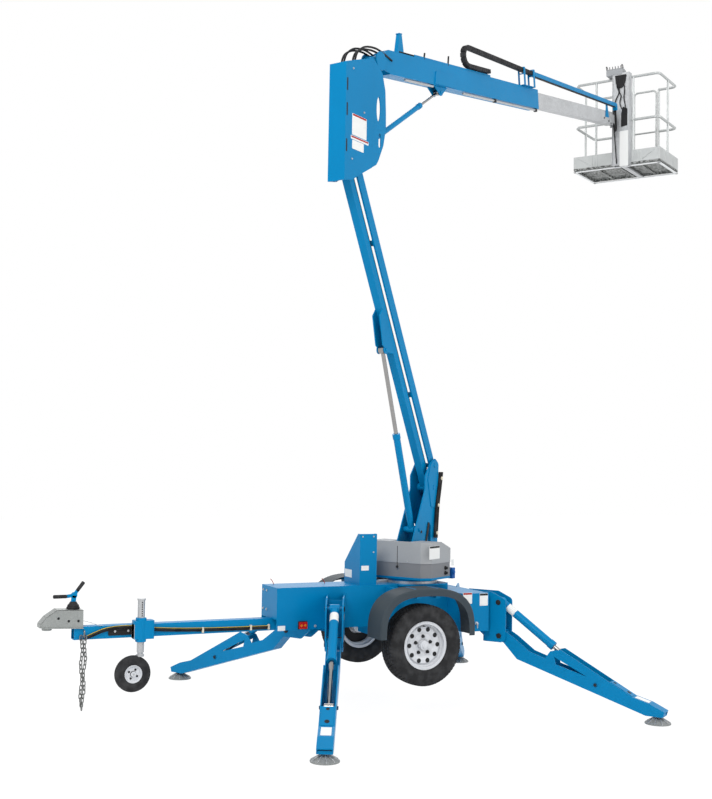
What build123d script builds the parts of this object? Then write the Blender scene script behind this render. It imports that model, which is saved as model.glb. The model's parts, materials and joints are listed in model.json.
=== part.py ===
from build123d import *
import os
from math import atan2, cos, degrees, hypot, radians, sin, tan

os.makedirs("parts", exist_ok=True)

# The frame: +X towards the hitch, +Y to the left side, +Z up, the floor at z = 0 and the axle at x = 0.
# All sizes are in mm and all angles in degrees.

# Running gear
TRACK = 1210
WHEEL_HEIGHT = 578
TYRE_DIAMETER = 663
TYRE_WIDTH = 205
TYRE_WALL = 12
RIM_SEAT_DIAMETER = 356
RIM_FLANGE_DIAMETER = 392
RIM_WIDTH = 150
RIM_WALL = 4
RIM_HOLES = 10
RIM_HOLE_DIAMETER = 30
RIM_HOLE_CIRCLE = 262
HUB_DIAMETER = 120
HUB_LENGTH = 90
SPINDLE_DIAMETER = 44
AXLE_TUBE = 80

# Chassis
BOX_FRONT = 1105
BOX_REAR = -500
BOX_WIDTH = 340
BOX_TOP = 1025
BOX_BOTTOM = 680
BOX_WALL = 8
REAR_BOX_REAR = -760
REAR_BOX_WIDTH = 860
REAR_BOX_TOP = 955
REAR_BOX_BOTTOM = 630
TONGUE_HEIGHT = 100
TONGUE_WIDTH = 100
TONGUE_WALL = 6
TONGUE_TOP = 767
TONGUE_NOSE = 2720
COUPLER_NOSE = 2979
BALL_DIAMETER = 51
COUPLER_WALL = 5

# Fenders, symmetrical about the axle
FENDER_FOOT = 455
FENDER_LOW = 665
FENDER_HIGH = 1045
FENDER_SHOULDER = 175
FENDER_INSIDE = 500
FENDER_OUTSIDE = 735
FENDER_SHEET = 5
FENDER_SKIRT = 55
FENDER_ROUND = 110
FENDER_ARM_X = 90

# Slewing turntable
SLEW_X = -234
SLEW_ANGLE = 31
RING_DIAMETER = 440
RING_HEIGHT = 40
BEARING_GAP = 0.5
DECK_THICKNESS = 18
COVER_WALL = 4
COVER_TOP = 1385
COVER_REACH = 235
COVER_SIDE = 292
COVER_CORNER = 70

# Boom, in the upright plane of the boom: distance out from the slew axis, height above the floor
PLATE_GAP = 140
PLATE_THICKNESS = 10
LINK_PIN = (235, 2046)
ARM_PIN = (225, 1850)
ARM_ANGLE = 61.75
ARM_LENGTH = 2975
ARM_HEIGHT = 66
ARM_WIDTH = 70
ARM_WALL = 6
LINK_HEIGHT = 84
LINK_WIDTH = 84
PIN_DIAMETER = 40
SMALL_PIN_DIAMETER = 30
PIN_FIT = 0.3
SIDE_FIT = 2.0

# Elbow and upper boom
ARM_END = (ARM_PIN[0] - ARM_LENGTH * cos(radians(ARM_ANGLE)), ARM_PIN[1] + ARM_LENGTH * sin(radians(ARM_ANGLE)))
ELBOW_BACK = ARM_END[0] - 107
ELBOW_PLATE = 8
BOOM_PIN = (ARM_END[0] + 423, ARM_END[1] + 959.5)
BOOM_ANGLE = 9.3
BOOM_HEIGHT = 203
BOOM_WIDTH = 126
BOOM_WALL = 6
BOOM_START = 150
BOOM_LENGTH = 3218
BOOM_RISE = 12
FLY_HEIGHT = 155
FLY_WIDTH = 88
FLY_WALL = 5
FLY_INSIDE = 700
FLY_TIP = 5472

# Lift cylinders
ARM_RAM_BASE = (-16, 1480)
ARM_RAM_EYE = (-548, 3015)
ARM_RAM_BARREL = 881
BOOM_RAM_BASE = (BOOM_PIN[0] - 15, BOOM_PIN[1] - 678)
BOOM_RAM_EYE = (BOOM_PIN[0] + 1090, BOOM_PIN[1] + 40)
BOOM_RAM_BARREL = 948

# Platform
PLATFORM_START = 4866
PLATFORM_DEPTH = 690
PLATFORM_WIDTH = 1120
PLATFORM_FLOOR = 5819
RAIL_HEIGHT = 1088
RAIL_DIAMETER = 32
POST_DIAMETER = 28
TOE_HEIGHT = 150

# Outriggers, each in its own upright plane: distance out from the hinge bracket, height above the floor
LEG_PIN = (128, 590)
LEG_RAM_BASE = (120, 875)
LEG_RAM_EYE = (985, 262)
LEG_RAM_BARREL = 589
LEG_FOOT = 1489
LEG_WIDTH = 118
LEG_PLATE = 8
FOOT_DIAMETER = 210
EAR_THICKNESS = 12
EAR_GAP = 3

# One row for each outrigger: name, x and y of its bracket, heading of its arm seen from above
OUTRIGGERS = (
    ("front_left", 655, 330, 63),
    ("front_right", 655, -330, -63),
    ("rear_left", -824, 330, 124),
    ("rear_right", -824, -330, -124),
)


def heading(angle):
    """Level unit vector at an angle from +X, seen from above."""
    return Vector(cos(radians(angle)), sin(radians(angle)), 0)


def upright(origin, out, side=0):
    """Upright plane through origin: x runs along out, y is up, and side is the offset along its normal."""
    normal = out.cross(Vector(0, 0, 1))
    return Plane(origin=origin + normal * side, x_dir=out, z_dir=normal)


boom_out = heading(180 + SLEW_ANGLE)
boom_side = boom_out.cross(Vector(0, 0, 1))
slew_centre = Vector(SLEW_X, 0, 0)


def boom_plane(side=0):
    """Plane of the boom; side is positive towards the left of the machine."""
    return upright(slew_centre, boom_out, side)


def boom_point(place, side=0):
    """Point in space for a place (out, height) in the boom's plane."""
    return slew_centre + boom_out * place[0] + Vector(0, 0, place[1]) + boom_side * side


def along(place, angle, length, rise=0):
    """Place reached from place by going length at angle, and rise square to it."""
    return (
        place[0] + length * cos(radians(angle)) - rise * sin(radians(angle)),
        place[1] + length * sin(radians(angle)) + rise * cos(radians(angle)),
    )


def save(piece, name):
    """Label a finished piece and write it to its file."""
    piece.label = name
    export_step(piece, f"parts/{name}.step")


def polygon(points):
    """Face of the current sketch from its corner points, in order."""
    Polygon(*points, align=None)


def rounded(points, radius):
    """Face of the current sketch from corner points, its corners rounded by one radius or one each."""
    with BuildLine() as outline:
        FilletPolyline(*points, radius=radius, close=True)
    make_face(outline.edges())


def bar(start, end, diameter):
    """Round bar from one point in space to another, in the current part."""
    run = end - start
    with Locations(Plane(origin=(start + end) * 0.5, z_dir=run).location):
        Cylinder(diameter / 2, run.length)


def knee(place, diameter):
    """Ball that rounds off where two bars meet."""
    with Locations(place):
        Sphere(diameter / 2)


def cross_pin(plane, place, diameter, width, mode=Mode.ADD):
    """Round pin or hole across a plane, as wide on one side of it as on the other."""
    with Locations(plane.location * Location((place[0], place[1], 0))):
        Cylinder(diameter / 2, width, mode=mode)


def fender_outline(inset):
    """Corners of the fender seen from the side, moved inwards by inset."""
    slope = (FENDER_HIGH - FENDER_LOW) / (FENDER_FOOT - FENDER_SHOULDER)
    foot = FENDER_FOOT - inset * hypot(1, slope) / slope
    top = FENDER_HIGH - inset
    shoulder = foot - (top - FENDER_LOW) / slope
    return ((-foot, FENDER_LOW), (-shoulder, top), (shoulder, top), (foot, FENDER_LOW))


def between(plane, side, thickness):
    """The plane moved so that a plate extruded by its thickness lies outside side, on its own side."""
    return plane.offset(side if side >= 0 else side - thickness)


def ram_plane(origin, out, base, eye):
    """Plane of a cylinder: its origin at the base pin and x along the rod, in the upright plane along out."""
    run = (eye[0] - base[0], eye[1] - base[1])
    x_dir = (out * run[0] + Vector(0, 0, run[1])) / hypot(*run)
    return Plane(origin=origin + out * base[0] + Vector(0, 0, base[1]), x_dir=x_dir, z_dir=out.cross(Vector(0, 0, 1)))


def make_barrel(plane, length, outside, rod, bore_start, eye_radius, eye_width, pin):
    """Cylinder barrel: eye at the base, tube, wider gland at the end, and the bore that the rod slides in."""
    with BuildPart() as barrel:
        with BuildSketch(plane.offset(-eye_width / 2)):
            Circle(eye_radius)
        extrude(amount=eye_width)
        for start, end, diameter in ((eye_radius * 0.6, length, outside), (length - 45, length, outside + 8)):
            with BuildSketch(Plane(origin=plane.origin + plane.x_dir * start, z_dir=plane.x_dir)):
                Circle(diameter / 2)
            extrude(amount=end - start)
        with BuildSketch(Plane(origin=plane.origin + plane.x_dir * bore_start, z_dir=plane.x_dir)):
            Circle(rod / 2 + PIN_FIT)
        extrude(amount=length - bore_start, mode=Mode.SUBTRACT)
        cross_pin(plane, (0, 0), pin + 2 * PIN_FIT, eye_width + 2, Mode.SUBTRACT)
    return barrel.part


def make_rod(plane, span, length, diameter, eye_radius, eye_width, pin):
    """Cylinder rod with the eye at its end, span from the base pin."""
    with BuildPart() as rod:
        with BuildSketch(Plane(origin=plane.origin + plane.x_dir * (span - length), z_dir=plane.x_dir)):
            Circle(diameter / 2)
        extrude(amount=length - eye_radius * 0.6)
        with BuildSketch(plane.offset(-eye_width / 2)):
            with Locations((span, 0)):
                Circle(eye_radius)
        extrude(amount=eye_width)
        cross_pin(plane, (span, 0), pin + 2 * PIN_FIT, eye_width + 2, Mode.SUBTRACT)
    return rod.part


# Wheels
wheel_sides = (("left", 1), ("right", -1))


def wheel_plane(side):
    """Plane through a wheel's centre: x runs outwards along the axle, y runs up."""
    centre = Vector(0, side * TRACK / 2, WHEEL_HEIGHT)
    return Plane(origin=centre, x_dir=(0, side, 0), z_dir=(side, 0, 0))


def make_tyre(side):
    """Tyre: a closed ring with crowned tread, round shoulders and bulging walls."""
    plane = wheel_plane(side)
    seat = RIM_SEAT_DIAMETER / 2 + PIN_FIT
    tread = TYRE_DIAMETER / 2
    bead = RIM_WIDTH / 2 - RIM_WALL - PIN_FIT
    flange = RIM_FLANGE_DIAMETER / 2 + 1
    with BuildPart() as tyre:
        with BuildSketch(plane):
            with BuildLine():
                Line((-bead, seat), (bead, seat))
                Line((bead, seat), (bead, flange))
                ThreePointArc((bead, flange), (TYRE_WIDTH / 2, seat + 78), (TYRE_WIDTH / 2 - 12, tread - 22))
                Line((TYRE_WIDTH / 2 - 12, tread - 22), (TYRE_WIDTH / 2 - 24, tread - 5))
                ThreePointArc((TYRE_WIDTH / 2 - 24, tread - 5), (0, tread), (24 - TYRE_WIDTH / 2, tread - 5))
                Line((24 - TYRE_WIDTH / 2, tread - 5), (12 - TYRE_WIDTH / 2, tread - 22))
                ThreePointArc((12 - TYRE_WIDTH / 2, tread - 22), (-TYRE_WIDTH / 2, seat + 78), (-bead, flange))
                Line((-bead, flange), (-bead, seat))
            make_face()
        revolve(axis=Axis(plane.origin, plane.x_dir))
    return tyre.part


def make_rim(side):
    """Modular steel wheel: flanged barrel, dished disc with a ring of round holes, and the hub."""
    plane = wheel_plane(side)
    flange = RIM_FLANGE_DIAMETER / 2
    seat = RIM_SEAT_DIAMETER / 2
    half = RIM_WIDTH / 2
    disc = 24
    with BuildPart() as rim:
        with BuildSketch(plane):
            polygon(
                (
                    (-half, flange),
                    (-half, seat - RIM_WALL),
                    (-half + 30, seat - RIM_WALL),
                    (-half + 40, seat - 22),
                    (half - 52, seat - 22),
                    (half - 42, seat - RIM_WALL),
                    (half, seat - RIM_WALL),
                    (half, flange),
                    (half - RIM_WALL, flange),
                    (half - RIM_WALL, seat),
                    (half - 44, seat),
                    (half - 54, seat - 18),
                    (-half + 42, seat - 18),
                    (-half + 32, seat),
                    (-half + RIM_WALL, seat),
                    (-half + RIM_WALL, flange),
                )
            )
            polygon(
                (
                    (disc - 14, seat - 20),
                    (disc + 8, seat - 29),
                    (disc + 8, seat - 66),
                    (disc - 2, seat - 86),
                    (disc - 2, HUB_DIAMETER / 2 - 8),
                    (disc + 4, HUB_DIAMETER / 2 - 8),
                    (disc + 4, seat - 84),
                    (disc + 14, seat - 64),
                    (disc + 14, seat - 30),
                    (disc - 6, seat - 20),
                )
            )
            polygon(
                (
                    (disc - 2, SPINDLE_DIAMETER / 2 + PIN_FIT),
                    (disc - 2, HUB_DIAMETER / 2),
                    (disc - HUB_LENGTH, HUB_DIAMETER / 2),
                    (disc - HUB_LENGTH, SPINDLE_DIAMETER / 2 + PIN_FIT),
                )
            )
        revolve(axis=Axis(plane.origin, plane.x_dir))
        with BuildSketch(Plane(origin=plane.origin, x_dir=(1, 0, 0), z_dir=plane.x_dir)):
            with PolarLocations(RIM_HOLE_CIRCLE / 2, RIM_HOLES):
                Circle(RIM_HOLE_DIAMETER / 2)
        extrude(amount=half + RIM_WALL, mode=Mode.SUBTRACT)
        with BuildSketch(Plane(origin=plane.origin + plane.x_dir * (disc - 2), z_dir=plane.x_dir)):
            Circle(42)
        extrude(amount=40, taper=6)
    return rim.part


for side_name, side in wheel_sides:
    save(make_tyre(side), f"tyre_{side_name}")
    save(make_rim(side), f"wheel_{side_name}")

# Axle under the box, with a spindle for each wheel
with BuildPart() as axle:
    with BuildSketch(Plane.XZ.offset(-TRACK / 2 + 130)):
        with Locations((0, WHEEL_HEIGHT)):
            Rectangle(AXLE_TUBE, AXLE_TUBE)
            Rectangle(AXLE_TUBE - 12, AXLE_TUBE - 12, mode=Mode.SUBTRACT)
    extrude(amount=TRACK - 260)
    for side_name, side in wheel_sides:
        with BuildSketch(Plane.XZ.offset(-side * (TRACK / 2 - 130))):
            with Locations((0, WHEEL_HEIGHT)):
                Rectangle(AXLE_TUBE, AXLE_TUBE)
        extrude(amount=-side * 20)
        with BuildSketch(Plane.XZ.offset(-side * (TRACK / 2 - 130))):
            with Locations((0, WHEEL_HEIGHT)):
                Circle(SPINDLE_DIAMETER / 2)
        extrude(amount=-side * 145)
    for end in (-1, 1):
        with BuildSketch(Plane.XZ.offset(end * 130 + 5)):
            with Locations((0, (BOX_BOTTOM + WHEEL_HEIGHT + AXLE_TUBE / 2) / 2)):
                Rectangle(120, BOX_BOTTOM - WHEEL_HEIGHT - AXLE_TUBE / 2)
        extrude(amount=-10)
save(axle.part, "axle")

# Chassis: a hollow front box, a cross box at the rear and a deck for the slewing ring
BOX_MIDDLE = (BOX_TOP + BOX_BOTTOM) / 2
TONGUE_ROOT = 600
with BuildPart() as chassis:
    with BuildSketch(Plane.YZ.offset(BOX_REAR)):
        with Locations((0, BOX_MIDDLE)):
            Rectangle(BOX_WIDTH, BOX_TOP - BOX_BOTTOM)
    extrude(amount=BOX_FRONT - BOX_REAR)
    with BuildSketch(Plane.YZ.offset(REAR_BOX_REAR)):
        with Locations((0, (REAR_BOX_TOP + REAR_BOX_BOTTOM) / 2)):
            Rectangle(REAR_BOX_WIDTH, REAR_BOX_TOP - REAR_BOX_BOTTOM)
    extrude(amount=BOX_REAR - REAR_BOX_REAR)
    with BuildSketch(Plane.XY.offset(BOX_TOP - 12)):
        with Locations((SLEW_X, 0)):
            Rectangle(RING_DIAMETER + 20, RING_DIAMETER + 20)
    extrude(amount=12)
    with BuildSketch(Plane.YZ.offset(BOX_REAR + BOX_WALL)):
        with Locations((0, BOX_MIDDLE)):
            Rectangle(BOX_WIDTH - 2 * BOX_WALL, BOX_TOP - BOX_BOTTOM - 2 * BOX_WALL - 8)
    extrude(amount=TONGUE_ROOT - BOX_REAR - BOX_WALL, mode=Mode.SUBTRACT)
    with BuildSketch(Plane.YZ.offset(TONGUE_ROOT + BOX_WALL)):
        with Locations((0, BOX_MIDDLE - BOX_WALL / 2)):
            Rectangle(BOX_WIDTH - 2 * BOX_WALL, BOX_TOP - BOX_BOTTOM - BOX_WALL)
    extrude(amount=BOX_FRONT - TONGUE_ROOT - 2 * BOX_WALL, mode=Mode.SUBTRACT)
    with BuildSketch(Plane.YZ.offset(BOX_FRONT - 2 * BOX_WALL)):
        with Locations((0, (TONGUE_TOP + BOX_BOTTOM) / 2)):
            Rectangle(BOX_WIDTH - 2 * BOX_WALL, TONGUE_TOP - BOX_BOTTOM)
    extrude(amount=3 * BOX_WALL, mode=Mode.SUBTRACT)
    with BuildSketch(Plane.YZ.offset(REAR_BOX_REAR + BOX_WALL)):
        with Locations((0, (REAR_BOX_TOP + REAR_BOX_BOTTOM) / 2)):
            Rectangle(REAR_BOX_WIDTH - 2 * BOX_WALL, REAR_BOX_TOP - REAR_BOX_BOTTOM - 2 * BOX_WALL)
    extrude(amount=BOX_REAR - REAR_BOX_REAR - 2 * BOX_WALL, mode=Mode.SUBTRACT)
    for arm_x in (-FENDER_ARM_X, FENDER_ARM_X):
        for side_name, side in wheel_sides:
            with BuildSketch(Plane.XZ.offset(-side * BOX_WIDTH / 2)):
                with Locations((arm_x, FENDER_HIGH - FENDER_SHEET - 55)):
                    Rectangle(40, 40)
            extrude(amount=-side * (FENDER_OUTSIDE - 15 - BOX_WIDTH / 2))
            with BuildSketch(Plane.XZ.offset(-side * (FENDER_INSIDE + 20))):
                with Locations((arm_x, FENDER_HIGH - FENDER_SHEET - 35 / 2)):
                    Rectangle(40, 35)
            extrude(amount=-side * 170)
save(chassis.part, "chassis")

# Fenders: a folded sheet over each wheel, with a skirt on its outer side
with BuildPart() as fenders:
    for side_name, side in wheel_sides:
        for depth, inside in ((FENDER_SHEET, FENDER_INSIDE), (FENDER_SKIRT, FENDER_OUTSIDE - FENDER_SHEET)):
            with BuildSketch(Plane.XZ.offset(-side * inside)) as outer:
                Polygon(*fender_outline(0), align=None)
                fillet(outer.vertices().group_by(Axis.Y)[-1], radius=FENDER_ROUND)
            extrude(amount=-side * (FENDER_OUTSIDE - inside))
            with BuildSketch(Plane.XZ.offset(-side * inside)) as inner:
                Polygon(*fender_outline(depth), align=None)
                fillet(inner.vertices().group_by(Axis.Y)[-1], radius=FENDER_ROUND - depth)
            extrude(amount=-side * (FENDER_OUTSIDE - inside), mode=Mode.SUBTRACT)
save(fenders.part, "fenders")

# Tongue: a square tube that enters the box under its front wall
with BuildPart() as tongue:
    with BuildSketch(Plane.YZ.offset(TONGUE_ROOT + BOX_WALL)):
        with Locations((0, TONGUE_TOP - TONGUE_HEIGHT / 2)):
            RectangleRounded(TONGUE_WIDTH, TONGUE_HEIGHT, 8)
            RectangleRounded(TONGUE_WIDTH - 2 * TONGUE_WALL, TONGUE_HEIGHT - 2 * TONGUE_WALL, 4, mode=Mode.SUBTRACT)
    extrude(amount=TONGUE_NOSE - TONGUE_ROOT - BOX_WALL)
save(tongue.part, "tongue")

# Coupler: a pressed head over the tongue's nose, with a socket for the ball
COUPLER_RISE = 30
BALL_X = COUPLER_NOSE - 62
COUPLER_REAR = TONGUE_NOSE - 170
with BuildPart() as coupler:
    with BuildSketch(Plane.XZ.offset(-TONGUE_WIDTH / 2 - COUPLER_WALL)):
        rounded(
            (
                (COUPLER_REAR, TONGUE_TOP - 62),
                (COUPLER_REAR, TONGUE_TOP + COUPLER_WALL),
                (TONGUE_NOSE - 60, TONGUE_TOP + COUPLER_RISE),
                (BALL_X - 10, TONGUE_TOP + COUPLER_RISE),
                (COUPLER_NOSE, TONGUE_TOP + 6),
                (COUPLER_NOSE, TONGUE_TOP - 32),
                (TONGUE_NOSE + 40, TONGUE_TOP - 46),
            ),
            (4, 4, 30, 24, 14, 10, 20),
        )
    extrude(amount=TONGUE_WIDTH + 2 * COUPLER_WALL)
    with BuildSketch(Plane.XY.offset(TONGUE_TOP - 100)):
        with BuildLine():
            Line((TONGUE_NOSE + 30, 60), (BALL_X, 44))
            ThreePointArc((BALL_X, 44), (BALL_X + 44, 0), (BALL_X, -44))
            Line((BALL_X, -44), (TONGUE_NOSE + 30, -60))
            Line((TONGUE_NOSE + 30, -60), (COUPLER_REAR - 10, -60))
            Line((COUPLER_REAR - 10, -60), (COUPLER_REAR - 10, 60))
            Line((COUPLER_REAR - 10, 60), (TONGUE_NOSE + 30, 60))
        make_face()
    extrude(amount=200, mode=Mode.INTERSECT)
    with BuildSketch(Plane.YZ.offset(COUPLER_REAR)):
        with Locations((0, TONGUE_TOP - 100)):
            Rectangle(TONGUE_WIDTH + 0.2, 200.2)
    extrude(amount=TONGUE_NOSE - COUPLER_REAR, mode=Mode.SUBTRACT)
    with BuildSketch(Plane.XY.offset(TONGUE_TOP - 100)):
        with Locations((BALL_X, 0)):
            Circle(BALL_DIAMETER / 2 + 0.5)
    extrude(amount=100, mode=Mode.SUBTRACT)
save(coupler.part, "coupler")

# Latch handle: boot and fork with two grips, on top of the coupler
LATCH_X = BALL_X - 90
LATCH_SEAT = TONGUE_TOP + COUPLER_RISE
with BuildPart() as latch:
    with BuildSketch(Plane.XY.offset(LATCH_SEAT)):
        with Locations((LATCH_X, 0)):
            Circle(34)
    extrude(amount=50, taper=12)
    arm_root = Vector(LATCH_X, 0, LATCH_SEAT + 46)
    for grip in ((LATCH_X + 150, 40, LATCH_SEAT + 62), (LATCH_X - 120, 70, LATCH_SEAT + 150)):
        bar(arm_root, Vector(*grip), 20)
        knee(Vector(*grip), 30)
    knee(arm_root, 34)
save(latch.part, "coupler_latch")

# Jack on the left of the tongue: clamp and outer tube, with a sliding leg, a swivelling fork and a wheel
JACK_X = 2215
JACK_Y = 105
JACK_TOP = 975
JACK_BOTTOM = 560
JACK_OUTER = 57
JACK_INNER = 45
JACK_WHEEL = 280
JACK_WHEEL_WIDTH = 60
JACK_WHEEL_Z = 397
JACK_WHEEL_X = 2272
with BuildPart() as jack:
    bar(Vector(JACK_X, JACK_Y, JACK_BOTTOM), Vector(JACK_X, JACK_Y, JACK_TOP - 14), JACK_OUTER)
    bar(Vector(JACK_X, JACK_Y, JACK_TOP - 14), Vector(JACK_X, JACK_Y, JACK_TOP), JACK_OUTER + 10)
    with BuildSketch(Plane.XY.offset(TONGUE_TOP - TONGUE_HEIGHT)):
        with Locations((JACK_X, (TONGUE_WIDTH / 2 + JACK_Y + 32) / 2)):
            Rectangle(120, JACK_Y + 32 - TONGUE_WIDTH / 2)
    extrude(amount=TONGUE_HEIGHT + 10)
    with Locations((JACK_X, JACK_Y, JACK_BOTTOM + 180)):
        Cylinder(JACK_INNER / 2 + 0.5, 362, mode=Mode.SUBTRACT)
save(jack.part, "jack")
with BuildPart() as jack_leg:
    bar(Vector(JACK_X, JACK_Y, 545), Vector(JACK_X, JACK_Y, 915), JACK_INNER)
    bar(Vector(JACK_X, JACK_Y, 535), Vector(JACK_X, JACK_Y, 545), JACK_INNER + 16)
save(jack_leg.part, "jack_leg")
with BuildPart() as jack_fork:
    bar(Vector(JACK_X, JACK_Y, 526), Vector(JACK_X, JACK_Y, 534.7), JACK_INNER + 16)
    with BuildSketch(Plane.XZ.offset(-JACK_Y - 38)):
        polygon(
            (
                (JACK_X - 30, 526),
                (JACK_X + 36, 526),
                (JACK_WHEEL_X + 20, JACK_WHEEL_Z),
                (JACK_WHEEL_X, JACK_WHEEL_Z - 20),
                (JACK_WHEEL_X - 20, JACK_WHEEL_Z),
            )
        )
    extrude(amount=76)
    with BuildSketch(Plane.XZ.offset(-JACK_Y - 33)):
        with Locations((JACK_WHEEL_X, JACK_WHEEL_Z)):
            Circle(JACK_WHEEL / 2 + 6)
    extrude(amount=66, mode=Mode.SUBTRACT)
    bar(Vector(JACK_WHEEL_X, JACK_Y - 38, JACK_WHEEL_Z), Vector(JACK_WHEEL_X, JACK_Y + 38, JACK_WHEEL_Z), 16)
save(jack_fork.part, "jack_fork")
with BuildPart() as jack_wheel:
    with BuildSketch(Plane(origin=(JACK_WHEEL_X, JACK_Y, JACK_WHEEL_Z), x_dir=(0, 1, 0), z_dir=(1, 0, 0))):
        rounded(
            (
                (-JACK_WHEEL_WIDTH / 2, 70),
                (-JACK_WHEEL_WIDTH / 2, JACK_WHEEL / 2),
                (JACK_WHEEL_WIDTH / 2, JACK_WHEEL / 2),
                (JACK_WHEEL_WIDTH / 2, 70),
                (14, 56),
                (14, 24),
                (JACK_WHEEL_WIDTH / 2, 20),
                (JACK_WHEEL_WIDTH / 2, 8.3),
                (-JACK_WHEEL_WIDTH / 2, 8.3),
                (-JACK_WHEEL_WIDTH / 2, 20),
                (-14, 24),
                (-14, 56),
            ),
            (4, 20, 20, 4, 8, 4, 2, 1, 1, 2, 4, 8),
        )
    revolve(axis=Axis((JACK_WHEEL_X, JACK_Y, JACK_WHEEL_Z), (0, 1, 0)))
save(jack_wheel.part, "jack_wheel")

# Outriggers
FOOT_TOP = 62
leg_x, leg_z = LEG_PIN
leg_outline = (
    (leg_x - 18, leg_z - 45),
    (leg_x + 37, leg_z - 55),
    (leg_x + 162, leg_z - 185),
    (LEG_FOOT - 84, FOOT_TOP),
    (LEG_FOOT + 56, FOOT_TOP),
    (LEG_FOOT + 69, FOOT_TOP + 43),
    (LEG_FOOT - 53, FOOT_TOP + 98),
    (LEG_FOOT - 193, FOOT_TOP + 134),
    (leg_x + 553, leg_z - 69),
    (leg_x + 462, leg_z - 90),
    (leg_x + 416, leg_z - 154),
    (leg_x + 280, leg_z - 112),
    (leg_x + 123, leg_z + 1),
    (leg_x + 48, leg_z + 42),
)
leg_window = ((leg_x + 496, leg_z - 133), (leg_x + 787, leg_z - 270), (leg_x + 512, leg_z - 195))


def strip(points, depth):
    """Outline of a strip of plate under a row of points."""
    return tuple(points) + tuple((x, z - depth) for x, z in reversed(points))


def make_leg(plane):
    """Outrigger arm: two side plates, a bottom flange, top strips towards the tip, the hinge tube and the foot."""
    half = LEG_WIDTH / 2
    with BuildPart() as leg:
        for side in (half - LEG_PLATE, LEG_PLATE - half):
            with BuildSketch(between(plane, side, LEG_PLATE)) as web:
                polygon(leg_outline)
                with Locations(LEG_PIN):
                    Circle(52)
                Polygon(*leg_window, align=None, mode=Mode.SUBTRACT)
            extrude(amount=LEG_PLATE)
        lower = tuple((x, z + LEG_PLATE) for x, z in leg_outline[1:5])
        tip_x, tip_z = leg_outline[7]
        root_x, root_z = leg_outline[8]
        share = (LEG_RAM_EYE[0] + 120 - tip_x) / (root_x - tip_x)
        upper = ((tip_x + share * (root_x - tip_x), tip_z + share * (root_z - tip_z)),) + leg_outline[7:4:-1]
        with BuildSketch(plane.offset(-half + 1)):
            polygon(strip(lower, LEG_PLATE))
            polygon(strip(upper, LEG_PLATE))
            with Locations(LEG_PIN):
                Circle(52)
            with Locations((LEG_FOOT, FOOT_TOP + 12)):
                Rectangle(110, 24)
        extrude(amount=LEG_WIDTH - 2)
        cross_pin(plane, LEG_PIN, PIN_DIAMETER + 2 * PIN_FIT, LEG_WIDTH + 2, Mode.SUBTRACT)
        for side in (40, -40):
            with BuildSketch(between(plane, side, half - 34)):
                with Locations(LEG_RAM_EYE):
                    Circle(SMALL_PIN_DIAMETER / 2)
            extrude(amount=half - 34)
        foot = plane.origin + plane.x_dir * LEG_FOOT
        with BuildSketch(Plane(origin=foot, x_dir=plane.x_dir, z_dir=plane.z_dir)):
            polygon(((0, 0), (FOOT_DIAMETER / 2, 0), (FOOT_DIAMETER / 2, 8), (34, 42), (20, 46), (20, 70), (0, 70)))
        revolve(axis=Axis(foot, (0, 0, 1)))
    return leg.part


leg_span = hypot(LEG_RAM_EYE[0] - LEG_RAM_BASE[0], LEG_RAM_EYE[1] - LEG_RAM_BASE[1])
with BuildPart() as brackets:
    for name, x, y, angle in OUTRIGGERS:
        leg_plane = upright(Vector(x, y, 0), heading(angle))
        ear_side = LEG_WIDTH / 2 + EAR_GAP
        for side in (ear_side, -ear_side):
            with BuildSketch(between(leg_plane, side, EAR_THICKNESS)):
                rounded(
                    ((-300, 960), (60, 960), (190, 900), (190, 560), (150, 535), (-40, 535), (-120, 600), (-300, 600)),
                    (1, 60, 40, 20, 20, 30, 20, 1),
                )
            extrude(amount=EAR_THICKNESS)
        with BuildSketch(leg_plane.offset(-ear_side)):
            with Locations((-15, 780)):
                Rectangle(10, 300)
        extrude(amount=2 * ear_side)
        cross_pin(leg_plane, LEG_PIN, PIN_DIAMETER, 2 * (ear_side + EAR_THICKNESS) + 10)
        cross_pin(leg_plane, LEG_RAM_BASE, SMALL_PIN_DIAMETER, 2 * (ear_side + EAR_THICKNESS) + 10)
    with BuildSketch(Plane.XY):
        with Locations(((BOX_REAR + BOX_FRONT) / 2, 0)):
            Rectangle(BOX_FRONT - BOX_REAR, BOX_WIDTH)
        with Locations(((REAR_BOX_REAR + BOX_REAR) / 2 + 100, 0)):
            Rectangle(BOX_REAR - REAR_BOX_REAR + 200, REAR_BOX_WIDTH + 200)
    extrude(amount=BOX_TOP + 100, mode=Mode.SUBTRACT)
save(brackets.part, "outrigger_brackets")
for name, x, y, angle in OUTRIGGERS:
    leg_plane = upright(Vector(x, y, 0), heading(angle))
    leg_ram = ram_plane(Vector(x, y, 0), heading(angle), LEG_RAM_BASE, LEG_RAM_EYE)
    save(make_leg(leg_plane), f"outrigger_arm_{name}")
    save(make_barrel(leg_ram, LEG_RAM_BARREL, 70, 36, 100, 36, 80, SMALL_PIN_DIAMETER), f"outrigger_barrel_{name}")
    save(make_rod(leg_ram, leg_span, 531, 36, 32, 68, SMALL_PIN_DIAMETER), f"outrigger_rod_{name}")

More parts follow.
